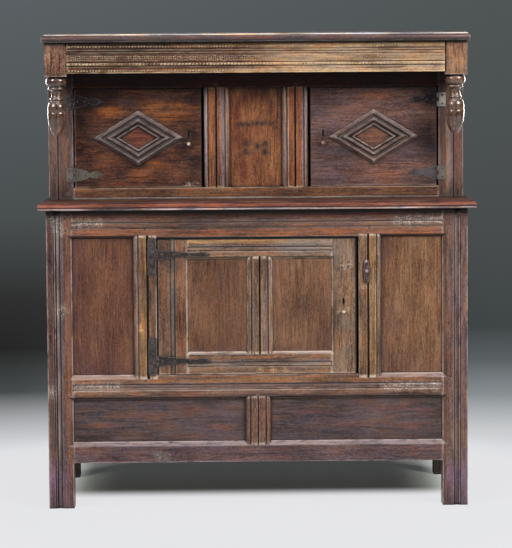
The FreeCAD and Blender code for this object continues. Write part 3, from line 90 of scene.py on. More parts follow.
class Graph:
    """An emptied node tree, with short calls for the nodes that its owners share."""

    def __init__(self, tree):
        self.tree = tree
        tree.nodes.clear()

    def node(self, kind, **settings):
        made = self.tree.nodes.new(kind)
        for key, value in settings.items():
            setattr(made, key, value)
        return made

    def put(self, socket, value):
        if isinstance(value, bpy.types.NodeSocket):
            self.tree.links.new(value, socket)
        elif value is not None:
            socket.default_value = value

    def math(self, operation, first, second=0.5, clamp=False):
        made = self.node("ShaderNodeMath", operation=operation, use_clamp=clamp)
        self.put(made.inputs[0], first)
        self.put(made.inputs[1], second)
        return made.outputs[0]

    def fit(self, value, low, high, to_low=0.0, to_high=1.0, kind="SMOOTHSTEP"):
        """value mapped from low..high to to_low..to_high, held at the ends."""
        made = self.node("ShaderNodeMapRange", interpolation_type=kind)
        for socket, number in zip(made.inputs, (value, low, high, to_low, to_high)):
            self.put(socket, number)
        return made.outputs[0]

    def mix(self, share, first, second, blend="MIX"):
        made = self.node("ShaderNodeMix", data_type="RGBA", blend_type=blend)
        self.put(made.inputs[0], share)
        self.put(made.inputs[6], first)
        self.put(made.inputs[7], second)
        return made.outputs[2]

    def stretch(self, vector, scale, shift=(0, 0, 0)):
        made = self.node("ShaderNodeMapping")
        self.put(made.inputs["Vector"], vector)
        made.inputs["Location"].default_value = shift
        made.inputs["Scale"].default_value = scale
        return made.outputs[0]

    def noise(self, vector, scale=1.0, detail=3.0, rough=0.55, bend=0.0):
        made = self.node("ShaderNodeTexNoise")
        self.put(made.inputs["Vector"], vector)
        for name, value in (("Scale", scale), ("Detail", detail), ("Roughness", rough), ("Distortion", bend)):
            made.inputs[name].default_value = value
        return made.outputs[0]

    def ramp(self, value, stops):
        made = self.node("ShaderNodeValToRGB")
        self.put(made.inputs[0], value)
        band = made.color_ramp
        while len(band.elements) < len(stops):
            band.elements.new(0.5)
        for element, (at, colour) in zip(band.elements, stops):
            element.position = at
            element.color = colour
        return made.outputs[0]

    def blend(self, share, first, second):
        """Two shaders, the second by its share."""
        made = self.node("ShaderNodeMixShader")
        for socket, value in zip(made.inputs, (share, first, second)):
            self.put(socket, value)
        return made.outputs[0]

    def looked_at(self):
        """One for what is seen straight, in a gloss or through glass, and nothing for the light."""
        rays = self.node("ShaderNodeLightPath").outputs
        return self.math("MAXIMUM", rays["Is Camera Ray"],
                         self.math("MAXIMUM", rays["Is Glossy Ray"], rays["Is Transmission Ray"]))


class Shader(Graph):
    """One material, with its surface and the patterns that finishes are made of."""

    def __init__(self, name):
        self.material = bpy.data.materials.new(name)
        self.material.use_nodes = True
        super().__init__(self.material.node_tree)
        self.surface = self.node("ShaderNodeBsdfPrincipled")
        self.output = self.node("ShaderNodeOutputMaterial")
        self.put(self.output.inputs["Surface"], self.surface.outputs["BSDF"])
        self.place = self.node("ShaderNodeTexCoord").outputs["Object"]

    def bump(self, height, distance, strength=1.0, normal=None):
        made = self.node("ShaderNodeBump")
        self.put(made.inputs["Height"], height)
        made.inputs["Distance"].default_value = distance
        made.inputs["Strength"].default_value = strength
        self.put(made.inputs["Normal"], normal)
        return made.outputs[0]

    def near(self, points, radius, stretch=(1, 0.1, 1)):
        """One close to any of the points, falling to nothing at the radius, with a ragged edge.

        The depth counts for less, so that a mark put on the front plane reaches the sunk faces too.
        """
        ragged = self.noise(self.place, 90, 2)
        total = None
        for point in points:
            shifted = self.stretch(self.place, stretch, [-p * s for p, s in zip(point, stretch)])
            length = self.node("ShaderNodeVectorMath", operation="LENGTH")
            self.put(length.inputs[0], shifted)
            spread = self.math("ADD", length.outputs["Value"], self.math("MULTIPLY", ragged, radius * 0.7))
            spot = self.fit(spread, radius * 1.35, radius * 0.35)
            total = spot if total is None else self.math("MAXIMUM", total, spot)
        return total

    def flecks(self, points, radius):
        """Small scattered marks close to any of the points."""
        marks = self.fit(self.noise(self.place, 230, 4, 0.8), 0.51, 0.56)
        return self.math("MULTIPLY", self.near(points, radius), marks)

    def line(self, axis, at, half):
        """One within half of a plane across the axis."""
        parts = self.node("ShaderNodeSeparateXYZ")
        self.put(parts.inputs[0], self.place)
        away = self.math("ABSOLUTE", self.math("SUBTRACT", parts.outputs[axis], at))
        return self.fit(away, half * 1.5, half * 0.7)

    def arrises(self, radius):
        """How far the surface is turned at an edge, from its normal and the rounded one."""
        rounded = self.node("ShaderNodeBevel", samples=4)
        rounded.inputs["Radius"].default_value = radius
        flat = self.node("ShaderNodeNewGeometry").outputs["Normal"]
        dot = self.node("ShaderNodeVectorMath", operation="DOT_PRODUCT")
        self.put(dot.inputs[0], rounded.outputs[0])
        self.put(dot.inputs[1], flat)
        return self.fit(dot.outputs["Value"], 0.995, 0.85)

    def edges(self, reach):
        """One on a ridge or an arris that is narrower than the reach, from how little lies under it."""
        made = self.node("ShaderNodeAmbientOcclusion", samples=6, inside=True)
        made.inputs["Distance"].default_value = reach
        return self.fit(made.outputs["AO"], 0.88, 0.52)

    def open_share(self, distance):
        """One in the open, falling towards nothing in a corner or a groove."""
        made = self.node("ShaderNodeAmbientOcclusion", samples=6)
        made.inputs["Distance"].default_value = distance
        return made.outputs["AO"]


GRAIN_ORDER = {"x": (0, 1, 2), "y": (1, 2, 0), "z": (2, 0, 1)}
# How fine each of the oak's patterns is, along the grain and twice across it
STREAKS = (9, 210, 210)
TICKS = (70, 260, 260)
FIGURE = (5, 75, 75)
CLOUDS = (5, 11, 11)
PORES = (60, 800, 800)
PATCHES = (11, 50, 50)
SPLITS = (4, 380, 380)
BREAKS = (22, 90, 90)
SWELLS = (8, 30, 30)
DRIFT = (2.2, 9, 9)
SPECKS = 240
# Where the dark, usual and light tones stand in the mixed pattern
TONE_STOPS = (0.32, 0.48, 0.65)
# Reach of the bare ridges that also get painted highlight, of the painted shade and dirt in corners and grooves, and
# of the painted shade in recesses
RIDGE_REACH = 0.0075
CORNER_REACH = 0.012
RECESS_REACH = 0.09
# Colour of upward faces: painted sheen with dust
SHEEN_AND_DUST_TONE = (158, 142, 142)
DUST = (112, 102, 102)
KEYHOLE_RADIUS = 0.0092
KEYHOLE_STRETCH = (1, 0.3, 0.40)
# Usual amounts of each finish: edges get wear and painted highlight, upward faces painted sheen with dust, and
# recesses painted shade
OAK_USUAL = {"rough": 0.44, "wear": 0.75, "dust": 0.25, "coat": 0.15, "gloss": 0.2, "cloudy": 0.5, "figure": 0.3,
             "speck": 0.5, "film": 0.25, "hue": 0.7, "cracks": 0.5, "shade": 0.6, "shine": 0.4}
BLACK = (13, 9, 9)


def wood_axes(s, grain, seed):
    """The place with the grain along its first axis, straight and gently waved."""
    parts = s.node("ShaderNodeSeparateXYZ")
    s.put(parts.inputs[0], s.place)
    joined = s.node("ShaderNodeCombineXYZ")
    for socket, axis in zip(joined.inputs, GRAIN_ORDER[grain]):
        s.put(socket, parts.outputs[axis])
    drift = s.noise(s.stretch(joined.outputs[0], DRIFT, (seed, seed, 0)), 1, 2)
    lean = s.node("ShaderNodeCombineXYZ")
    s.put(lean.inputs[1], s.math("MULTIPLY", drift, 0.05))
    s.put(lean.inputs[2], s.math("MULTIPLY", drift, 0.03))
    waved = s.node("ShaderNodeVectorMath", operation="ADD")
    s.put(waved.inputs[0], joined.outputs[0])
    s.put(waved.inputs[1], lean.outputs[0])
    return joined.outputs[0], waved.outputs[0]


def oak(name, grain, tones, seed, stains=(), flecks=(), bands=(), shade_lines=(), keyholes=(), **changes):
    """Old waxed oak, with the grain along one axis.

    tones are its darkest, usual and lightest colours and the colour of its edges, which is bare wood and painted
    highlight.
    stains are (points, radius, colour, strength) and may end in a stretch, and flecks are the same
    without one. bands are (axis, place, half width, colour, strength) and hold the wood's own colour with painted
    highlight and painted shade along the mouldings; the black painted shade in gaps, grooves and under the ledge
    is given by the first three of those, and keyholes are places. changes are to the usual amounts in OAK_USUAL.
    """
    want = {**OAK_USUAL, **changes}
    s = Shader(name)
    straight, along = wood_axes(s, grain, seed)
    streaks = s.noise(s.stretch(along, STREAKS, (seed, 0, seed)), 1, 4, 0.65)
    ticks = s.noise(s.stretch(along, TICKS, (0, seed, seed)), 1, 4, 0.65)
    fibre = s.math("ADD", s.math("MULTIPLY", streaks, 0.55), s.math("MULTIPLY", ticks, 0.45))
    figure = s.noise(s.stretch(along, FIGURE, (0, seed, seed)), 1, 3, 0.6, 0.5)
    cloud = s.noise(s.stretch(straight, CLOUDS, (seed, 3, seed)), 1, 4, 0.6)
    speck = s.noise(s.place, SPECKS, 3, 0.7)
    pores = s.fit(s.noise(s.stretch(along, PORES, (seed, seed, 0)), 1, 1), 0.56, 0.68)
    tone = fibre
    for part, share in ((figure, want["figure"]), (cloud, want["cloudy"]), (speck, want["speck"])):
        tone = s.math("ADD", tone, s.math("MULTIPLY", s.math("SUBTRACT", part, 0.5), share))
    dark, usual, light, worn_and_highlit = [rgb(*t) for t in tones]
    colour = s.ramp(tone, list(zip(TONE_STOPS, (dark, usual, light))))
    patches = s.noise(s.stretch(along, PATCHES, (seed, seed, 7)), 1, 3, 0.6)
    tint = s.ramp(patches, [(0.36, (0.82, 0.88, 1.12, 1)), (0.5, (1, 1, 1, 1)), (0.64, (1.24, 0.93, 0.68, 1))])
    colour = s.mix(want["hue"], colour, tint, "MULTIPLY")
    colour = s.mix(s.math("MULTIPLY", pores, 0.5), colour, dark)
    split = s.fit(s.noise(s.stretch(along, SPLITS, (3, seed, seed)), 1, 2, 0.5), 0.64, 0.69)
    colour = s.mix(s.math("MULTIPLY", split, want["cracks"]), colour, rgb(*BLACK))
    patchy = s.fit(figure, 0.36, 0.58, 0.45, 1.0)
    grainy = s.ramp(tone, list(zip(TONE_STOPS, ((0.4, 0.36, 0.34, 1), (1, 1, 1, 1), (1.5, 1.45, 1.4, 1)))))
    grainy = s.mix(want["hue"], grainy, tint, "MULTIPLY")
    # Bands along the mouldings: the wood's own colour with painted highlight, sheen and shade
    for axis, at, half, dye, strength in bands:
        share = s.math("MULTIPLY", s.math("MULTIPLY", s.line(axis, at, half), patchy), strength)
        colour = s.mix(share, colour, s.mix(1.0, rgb(*dye), grainy, "MULTIPLY"))
    for points, radius, stain, strength, *stretch in stains:
        share = s.math("MULTIPLY", s.math("MULTIPLY", s.near(points, radius, *stretch), patchy), strength)
        colour = s.mix(share, colour, s.mix(0.8, rgb(*stain), grainy, "MULTIPLY"))
    # Painted shade: the dark tone creeps into recesses
    colour = s.mix(s.math("MULTIPLY", s.fit(s.open_share(RECESS_REACH), 0.98, 0.5), want["shade"]), colour, dark)

    room = s.open_share(CORNER_REACH)
    broken = s.fit(s.noise(s.stretch(along, BREAKS), 1, 3), 0.36, 0.56, 0.15, 1.0)
    # Edges bare from use, also lightened as a painted highlight
    rubbed_and_highlit = s.math("MULTIPLY", s.math("MULTIPLY", s.edges(RIDGE_REACH), s.fit(room, 0.6, 0.95)), broken)
    colour = s.mix(s.math("MULTIPLY", rubbed_and_highlit, want["wear"]), colour, worn_and_highlit)
    # Painted sheen, with some dust, on faces that turn upwards
    facing = s.node("ShaderNodeSeparateXYZ")
    s.put(facing.inputs[0], s.node("ShaderNodeNewGeometry").outputs["Normal"])
    film = s.math("MULTIPLY", s.fit(facing.outputs[2], 0.2, 0.7), broken)
    colour = s.mix(s.math("MULTIPLY", film, want["film"]), colour, rgb(*SHEEN_AND_DUST_TONE))
    for points, radius, mark, strength in flecks:
        colour = s.mix(s.math("MULTIPLY", s.flecks(points, radius), strength), colour, rgb(*mark))
    dusty = s.math("MULTIPLY", s.fit(room, 0.97, 0.8), s.fit(cloud, 0.42, 0.62))
    colour = s.mix(s.math("MULTIPLY", dusty, want["dust"]), colour, rgb(*DUST))
    # Painted shade and dirt: black in corners, grooves and joints
    colour = s.mix(s.math("MULTIPLY", s.fit(room, 0.86, 0.48), 0.95), colour, rgb(*BLACK))
    # Painted shade: black in gaps, grooves and under the ledge
    for axis, at, half in shade_lines:
        colour = s.mix(s.line(axis, at, half), colour, rgb(*BLACK))
    for place in keyholes:
        colour = s.mix(s.near([place], KEYHOLE_RADIUS, KEYHOLE_STRETCH), colour, rgb(4, 3, 3))
    s.put(s.surface.inputs["Base Color"], colour)

    shine = s.math("ADD", s.math("MULTIPLY", cloud, 0.35), s.math("MULTIPLY", fibre, 0.22))
    s.put(s.surface.inputs["Roughness"], s.math("ADD", s.math("SUBTRACT", shine, 0.28), want["rough"], True))
    s.surface.inputs["Specular IOR Level"].default_value = want["shine"]
    s.surface.inputs["Coat Weight"].default_value = want["coat"]
    s.surface.inputs["Coat Roughness"].default_value = want["gloss"]
    relief = s.math("SUBTRACT", s.math("SUBTRACT", fibre, s.math("MULTIPLY", pores, 0.5)), split)
    normal = s.bump(s.noise(s.stretch(straight, SWELLS, (seed, 0, 0)), 1, 2), 0.003, 0.35)
    normal = s.bump(relief, 0.0012, 0.6, normal)
    s.put(s.surface.inputs["Normal"], normal)
    return s


# Oaks: the darkest, usual and lightest tones of each kind of piece, and the tone of its edges, bare wood with painted
# highlight
STILE = ((40, 26, 24), (96, 72, 66), (138, 110, 98), (186, 170, 166))
# Painted shade: dark tones for the rail and soffit under the canopy
CANOPY_SHADE_TONES = ((20, 9, 10), (70, 30, 26), (106, 54, 42), (130, 104, 92))
UPPER_STILE = ((32, 21, 21), (78, 58, 54), (116, 92, 84), (166, 152, 150))
RAIL = ((44, 26, 22), (106, 76, 66), (150, 114, 96), (190, 172, 164))
LOW_RAIL = ((42, 28, 31), (88, 66, 71), (120, 98, 102), (176, 160, 164))
DOOR_RAIL = ((48, 32, 24), (114, 86, 68), (162, 130, 102), (204, 184, 166))
DOOR_BOARD = ((22, 12, 12), (68, 42, 35), (116, 76, 54), (150, 128, 116))
# A lighter copy of the door board, painted as if lit
PAINTED_LIT_DOOR = ((28, 18, 20), (86, 58, 54), (130, 98, 88), (156, 134, 128))
LEFT_PANEL = ((52, 30, 23), (100, 64, 49), (132, 92, 72), (176, 146, 124))
RIGHT_PANEL = ((64, 42, 30), (119, 84, 60), (156, 119, 88), (190, 164, 138))
DOOR_PANEL = ((54, 36, 27), (106, 73, 55), (142, 104, 78), (184, 156, 132))
MUNTIN = ((46, 30, 22), (112, 84, 62), (166, 134, 100), (208, 190, 172))
UPPER_WOOD = ((40, 22, 16), (112, 70, 46), (168, 116, 72), (192, 162, 138))
PANEL_GOLD = ((48, 25, 15), (118, 72, 46), (168, 114, 70), (188, 154, 124))
APRON = ((36, 26, 28), (80, 63, 64), (110, 88, 86), (150, 136, 136))
FRIEZE = ((42, 25, 22), (118, 80, 56), (188, 144, 100), (226, 204, 168))
GOLDEN = ((60, 38, 28), (146, 108, 74), (196, 158, 112), (224, 198, 160))
POST = ((54, 34, 28), (134, 98, 80), (184, 146, 116), (206, 188, 174))
LEDGE = ((24, 13, 12), (66, 39, 33), (102, 67, 55), (140, 118, 112))
PEG = ((42, 28, 24), (92, 70, 60), (120, 94, 82), (120, 94, 82))
TOP = ((22, 17, 18), (66, 55, 54), (112, 100, 97), (176, 174, 170))
LOZENGE = ((28, 20, 22), (76, 62, 60), (108, 92, 88), (164, 152, 150))
PLAIN = ((70, 50, 36), (124, 94, 68), (156, 124, 92), (160, 130, 100))
# Painted shade: the rear stiles dark, as in the shadow under the case
REAR_IN_SHADE = ((20, 16, 15), (50, 40, 35), (72, 58, 50), (90, 78, 68))

# Colours of the marks. PALE and the lilac colours also serve the bands below, where they are painted highlight and
# sheen
IRON_STAIN = (22, 14, 16)
PALE = (206, 186, 166)
CHALK = (232, 222, 210)
LILAC_SHEEN = (130, 118, 124)
PALE_LILAC_SHEEN = (160, 150, 156)
EMBER = (140, 86, 56)
PLUM = (72, 50, 52)
GOLD = (168, 134, 88)


def upper_spots(points):
    """Places on the upper front, from x and z pairs."""
    return [(x, UPPER_FRONT, z) for x, z in points]


def front_spots(points):
    """Places on the lower front, from x and z pairs."""
    return [(x, FRONT, z) for x, z in points]


def outer_edges(name, sides, half):
    """Painted shade in the gaps along the outer edges of a node, from its box: which of its left, right, low and
    high.
    """
    low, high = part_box(name)
    planes = {"left": (X, low[0]), "right": (X, high[0]), "low": (Z, low[2]), "high": (Z, high[2])}
    return [(*planes[side], half) for side in sides]


DOOR_MIDDLE = sum(corner[0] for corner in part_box("lower_door_muntin")) / 2

# Bands of colour that run along the mouldings of each piece: axis, place, half width, colour, strength.
# The pale, grey and lilac ones are painted highlight and sheen on ridges and upward bevels, the dark ones
# painted shade in quirks and under edges, and the rest the wood's own colour
BANDS = {
    "front_stile_left": [(X, -0.671, 0.008, PLUM, 0.6), (X, -0.638, 0.007, (108, 94, 100), 0.5),
                         (X, -0.620, 0.009, EMBER, 0.5), (X, -0.6515, 0.003, PALE_LILAC_SHEEN, 0.9)],
    "front_stile_right": [(X, 0.671, 0.009, (112, 88, 92), 0.5), (X, 0.646, 0.006, LILAC_SHEEN, 0.5),
                          (X, 0.617, 0.009, (120, 84, 62), 0.5)],
    "base_top_rail": [(Z, 0.965, 0.010, (98, 56, 44), 0.6), (Z, 0.942, 0.006, (112, 94, 92), 0.65),
                      (Z, 0.927, 0.006, (112, 84, 66), 0.5), (Z, 0.906, 0.011, EMBER, 0.65)],
    "base_mid_rail": [(Z, 0.424, 0.009, (146, 104, 66), 0.6), (Z, 0.404, 0.007, (88, 76, 82), 0.6),
                      (Z, 0.393, 0.0016, PALE, 0.8), (Z, 0.383, 0.007, (124, 94, 72), 0.6),
                      (Z, 0.366, 0.005, (36, 26, 26), 0.8)],
    "base_bottom_rail": [(Z, 0.208, 0.006, LILAC_SHEEN, 0.5), (Z, 0.190, 0.008, (104, 72, 66), 0.4)],
    "lower_door_rails": [(Z, 0.878, 0.007, GOLD, 0.8), (Z, 0.861, 0.007, (96, 88, 90), 0.7),
                         (Z, 0.840, 0.010, (134, 104, 78), 0.6), (Z, 0.494, 0.006, (124, 84, 62), 0.5),
                         (Z, 0.480, 0.007, (104, 96, 102), 0.7), (Z, 0.470, 0.0016, PALE, 0.7),
                         (Z, 0.453, 0.009, (122, 94, 78), 0.6)],
    "lower_door_stiles": [(X, -0.300, 0.012, (104, 74, 60), 0.6), (X, -0.276, 0.008, (100, 100, 98), 0.7),
                          (X, -0.250, 0.010, (132, 82, 58), 0.6), (X, -0.233, 0.0016, PALE_LILAC_SHEEN, 0.7)],
    "lower_door_muntin": [(X, DOOR_MIDDLE - 0.022, 0.004, LILAC_SHEEN, 0.6),
                          (X, DOOR_MIDDLE + 0.022, 0.005, (96, 84, 94), 0.7)],
    "base_muntin_left": [(X, -0.393, 0.007, LILAC_SHEEN, 0.6), (X, -0.372, 0.009, (148, 110, 72), 0.6),
                         (X, -0.341, 0.008, (98, 72, 60), 0.7)],
    "base_muntin_right": [(X, 0.350, 0.009, (118, 84, 60), 0.6), (X, 0.3755, 0.007, (156, 118, 76), 0.7),
                          (X, 0.388, 0.003, (206, 186, 150), 0.6), (X, 0.402, 0.004, LILAC_SHEEN, 0.7)],
    "upper_stile_left": [(X, -0.640, 0.011, (98, 68, 56), 0.45), (X, -0.612, 0.006, (104, 92, 108), 0.6)],
    "upper_stile_right": [(X, 0.637, 0.006, (150, 118, 84), 0.55), (X, 0.646, 0.003, (118, 106, 118), 0.6),
                          (X, 0.668, 0.009, (112, 66, 50), 0.6), (X, 0.614, 0.006, (70, 40, 36), 0.6)],
    "upper_bottom_rail": [(Z, 1.0125, 0.0024, (216, 206, 200), 0.9), (Z, 1.0175, 0.002, (60, 34, 28), 0.5)],
    "upper_muntin_left": [(X, -0.169, 0.008, PALE_LILAC_SHEEN, 0.8), (X, -0.150, 0.008, (160, 98, 58), 0.5),
                          (X, -0.112, 0.006, LILAC_SHEEN, 0.7), (X, -0.099, 0.007, (132, 118, 114), 0.7)],
    "upper_muntin_right": [(X, 0.095, 0.008, (140, 128, 132), 0.8), (X, 0.107, 0.0018, PALE, 0.7),
                           (X, 0.117, 0.006, (150, 78, 52), 0.6), (X, 0.142, 0.007, (166, 96, 56), 0.6),
                           (X, 0.160, 0.008, LILAC_SHEEN, 0.8)],
    "frieze_rail": [(Z, 1.517, 0.006, (190, 154, 108), 0.6), (Z, 1.503, 0.003, PLUM, 0.8),
                    (Z, 1.4485, 0.002, PLUM, 0.8), (Z, 1.476, 0.008, (112, 92, 82), 0.65),
                    (Z, 1.442, 0.003, PLUM, 0.7), (Z, 1.433, 0.006, (190, 154, 108), 0.7)],
    # Painted highlight: the pale line along the ledge's nose and the top's upper arris; painted shade under the top's
    # nose
    "ledge_front_board": [(Z, 0.9975, 0.0045, (132, 76, 60), 0.75), (Z, 0.9855, 0.0021, (190, 178, 180), 1.0)],
    "top_boards": [(Z, 1.5505, 0.0020, (200, 200, 196), 1.0), (Z, 1.540, 0.007, (72, 46, 44), 0.85),
                   (Z, 1.530, 0.0035, (24, 16, 18), 1.0)],
}

# Stretch of a stain that is longer along a board than across it
LONG = (0.5, 0.1, 1.15)
# Stains of the upper doors: places, radius, colour, strength, and a stretch for some
LEFT_DOOR_STAINS = [
    (upper_spots([(-0.394, 1.2125)]), 0.085, (112, 60, 46), 0.7, LONG),
    (upper_spots([(-0.58, 1.34), (-0.56, 1.32), (-0.50, 1.37), (-0.59, 1.28)]), 0.075, IRON_STAIN, 0.9),
    (upper_spots([(-0.59, 1.08), (-0.55, 1.06), (-0.59, 1.17)]), 0.05, IRON_STAIN, 0.7),
    (upper_spots([(-0.215, 1.22), (-0.20, 1.13), (-0.24, 1.17), (-0.20, 1.34), (-0.21, 1.07)]), 0.05,
     IRON_STAIN, 0.85),
    (upper_spots([(-0.43, 1.335), (-0.55, 1.21), (-0.34, 1.345)]), 0.03, (62, 56, 60), 0.5, LONG),
    (upper_spots([(-0.34, 1.315), (-0.29, 1.28), (-0.26, 1.305), (-0.48, 1.30)]), 0.036, (150, 92, 48), 0.75, LONG),
    (upper_spots([(-0.50, 1.135), (-0.33, 1.12), (-0.38, 1.09)]), 0.034, (142, 88, 50), 0.7, LONG),
]
RIGHT_DOOR_STAINS = [
    (upper_spots([(0.394, 1.2125)]), 0.09, (132, 88, 62), 0.7, LONG),
    (upper_spots([(0.58, 1.34), (0.56, 1.24), (0.585, 1.15), (0.58, 1.07), (0.55, 1.19)]), 0.06, (34, 22, 30), 0.75),
    (upper_spots([(0.222, 1.215), (0.21, 1.34)]), 0.035, IRON_STAIN, 0.6),
    (upper_spots([(0.23, 1.30), (0.27, 1.16), (0.22, 1.12)]), 0.05, (84, 72, 78), 0.6, LONG),
    (upper_spots([(0.40, 1.35), (0.33, 1.30), (0.44, 1.08), (0.36, 1.10)]), 0.045, (134, 84, 62), 0.55, LONG),
    (upper_spots([(0.29, 1.33), (0.23, 1.25), (0.30, 1.12), (0.24, 1.08), (0.50, 1.16)]), 0.05,
     (92, 76, 84), 0.6, LONG),
]


def paint(shader, names):
    """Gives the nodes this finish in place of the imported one."""
    for name in names:
        mesh = NODES[name].data
        mesh.materials.clear()
        mesh.materials.append(shader.material)


def wood(names, grain, tones, seed, stains=(), flecks=(), shade_lines=(), keyholes=(), **changes):
    """Gives the nodes one oak, with the bands of the first of them."""
    bands = BANDS.get(names[0], ())
    paint(oak(f"oak_{names[0]}", grain, tones, seed, stains, flecks, bands, shade_lines, keyholes, **changes), names)


def both(name):
    return [f"{name}_left", f"{name}_right"]


# Amounts that differ from the usual ones on panels, on peg ends, and on wood that was never polished
FIELD = {"wear": 0.2, "dust": 0.1, "cracks": 0.15, "figure": 0.15, "hue": 0.4, "film": 0.1}
PEG_END = {"wear": 0.0, "film": 0.0, "dust": 0.0, "hue": 0.2, "cracks": 0.0}
DRY = {"rough": 0.7, "wear": 0.2, "coat": 0.0, "film": 0.1}


def finish_base_frame():
    """Stiles, rails and muntins of the base, with their scars and chips."""
    scar = (front_spots([(-0.639, 0.646), (-0.632, 0.640)]), 0.016, (30, 24, 24), 0.9)
    scar_light = (front_spots([(-0.642, 0.652), (-0.672, 0.386), (-0.654, 0.955), (-0.650, 0.935),
                               (-0.645, 0.915)]), 0.032, (226, 216, 206), 1.0)
    cool = (front_spots([(-0.655, 0.92), (-0.66, 0.78), (-0.655, 0.52)]), 0.03, (122, 112, 116), 0.5)
    feet = (front_spots([(side * 0.68, z) for side in (-1, 1) for z in (0.02, 0.10)]), 0.10, (122, 98, 130), 0.9)
    wood(["front_stile_left"], "z", STILE, 1.3, [scar, cool, feet], [scar_light],
         [(X, -0.658, 0.0016), (Z, LEDGE_SHADOW_Z, 0.0045)])
    wood(["front_stile_right"], "z", STILE, 31.3, [feet], shade_lines=[(Z, LEDGE_SHADOW_Z, 0.0045)])
    ends = [(-0.635, 0.952), (-0.635, 0.925), *[(-0.61 + 0.03 * k, 0.940) for k in range(4)],
            *[(0.46 + 0.035 * k, 0.942) for k in range(6)]]
    wood(["base_top_rail"], "x", RAIL, 4.1, flecks=[(front_spots(ends), 0.03, CHALK, 0.7)],
         shade_lines=[(Z, LEDGE_SHADOW_Z, 0.0055), (Z, 0.8885, 0.003)])
    tops = [*[(-0.63 + 0.028 * k, 0.400) for k in range(7)], *[(0.42 + 0.04 * k, 0.396) for k in range(5)]]
    wood(["base_mid_rail"], "x", RAIL, 33.1, flecks=[(front_spots(tops), 0.028, CHALK, 0.75)], film=0.5)
    scratch = (front_spots([(-0.33, 0.172), (-0.30, 0.167)]), 0.024, (150, 156, 150), 0.9)
    wood(["base_bottom_rail"], "x", LOW_RAIL, 5.7, flecks=[scratch], film=0.45)
    chip = (front_spots([(-0.386, 0.598), (-0.384, 0.588)]), 0.013, (214, 176, 126), 0.9)
    wood(["base_muntin_left"], "z", MUNTIN, 7.2, [chip], shade_lines=[(X, -0.3575, 0.0032)], wear=0.9)
    latch = (front_spots([(0.345, 0.722), (0.352, 0.728), (0.366, 0.724)]), 0.014, (224, 204, 170), 0.8)
    wood(["base_muntin_right"], "z", MUNTIN, 37.2, flecks=[latch],
         shade_lines=[*outer_edges("base_muntin_right", ("left",), 0.0022), (X, 0.3625, 0.003)], wear=0.9)
    wood(["apron_muntin"], "z", RAIL, 47.2, wear=0.7)


def finish_upper_frame():
    """Stiles, rails and muntins of the set-back upper stage."""
    for name in both("upper_stile"):
        # More painted shade in the recesses of the set-back stiles
        wood([name], "z", UPPER_STILE, 2.9, shade=0.9)
    wood(["upper_bottom_rail"], "x", UPPER_WOOD, 6.6)
    # Painted shade under the canopy: its rail and soffit in dark tones
    wood(["upper_top_rail", "soffit_board"], "x", CANOPY_SHADE_TONES, 36.6, shade=0.9, shine=0.25, coat=0.0)
    for name, seed, groove in zip(both("upper_muntin"), (8.8, 38.8), (-0.132, 0.130)):
        wood([name], "z", UPPER_WOOD, seed, shade_lines=[(X, groove, 0.003)], wear=0.9)


def finish_panels():
    """Panels of both stages, with the blue, mauve and plum shades of their polish."""
    knot = (front_spots([(-0.474, 0.787)]), 0.010, (40, 24, 18), 0.9)
    blue = (front_spots([(-0.61, 0.49), (-0.55, 0.455), (-0.48, 0.45), (-0.62, 0.62), (-0.62, 0.75), (-0.62, 0.86)]),
            0.085, (78, 54, 62), 0.7)
    mauve = (front_spots([(0.41, 0.50), (0.43, 0.60), (0.49, 0.46), (0.58, 0.46), (0.40, 0.84)]), 0.085,
             (98, 70, 66), 0.6)
    plum = (front_spots([(-0.20, 0.50), (-0.10, 0.50), (0.04, 0.50), (0.14, 0.50), (0.21, 0.52), (0.03, 0.60),
                         (0.03, 0.78)]), 0.075, (92, 64, 62), 0.6)
    wood(["base_panel_left"], "z", LEFT_PANEL, 9.4, [knot, blue], **FIELD)
    wood(["base_panel_right"], "z", RIGHT_PANEL, 39.4, [mauve], **FIELD)
    # Painted shade on the left of the door panels and painted light on the right
    dim = (front_spots([(-0.10, z) for z in (0.58, 0.74)]), 0.13, (84, 56, 43), 0.65)
    lit = (front_spots([(0.12, z) for z in (0.58, 0.74)]), 0.13, (142, 108, 84), 0.45)
    wood(["lower_door_panels"], "z", DOOR_PANEL, 29.4, [dim, lit, plum], **FIELD)
    scar_line = (upper_spots([(-0.045, 1.255), (-0.025, 1.255), (-0.01, 1.257), (0.007, 1.259), (0.027, 1.259),
                              (0.047, 1.257)]), 0.017, (34, 24, 28), 1.0, (0.5, 0.1, 1))
    holes = (upper_spots([(-0.03, 1.19), (-0.03, 1.163), (0.029, 1.19), (0.03, 1.163), (0.006, 1.183)]), 0.028,
             (34, 28, 27), 1.0)
    arc = (upper_spots([(0.025, 1.364), (0.001, 1.359), (-0.019, 1.350), (-0.038, 1.339), (-0.053, 1.326),
                        (-0.062, 1.305), (-0.066, 1.283), (-0.064, 1.247), (-0.061, 1.213), (-0.055, 1.183),
                        (-0.050, 1.155), (-0.046, 1.12), (-0.044, 1.087)]), 0.028, (84, 34, 20), 1.0, (1, 0.1, 0.6))
    blush = (upper_spots([(-0.03, 1.23), (-0.033, 1.21), (-0.016, 1.117), (0.006, 1.143), (0.01, 1.23)]), 0.045,
             (96, 44, 32), 0.7)
    wood(["upper_panel"], "z", PANEL_GOLD, 10.3, [blush, arc, scar_line, holes], **{**FIELD, "figure": 0.4})
    flames = (front_spots([(-0.36, 0.30), (-0.22, 0.325), (-0.5, 0.27), (-0.12, 0.26), (0.16, 0.31), (0.30, 0.27),
                           (0.42, 0.32), (0.50, 0.26), (0.56, 0.31)]), 0.03, (120, 68, 60), 0.5, (0.35, 0.3, 1.6))
    wood(["apron_panels"], "x", APRON, 11.9, [flames], **{**FIELD, "hue": 0.9, "figure": 0.4})


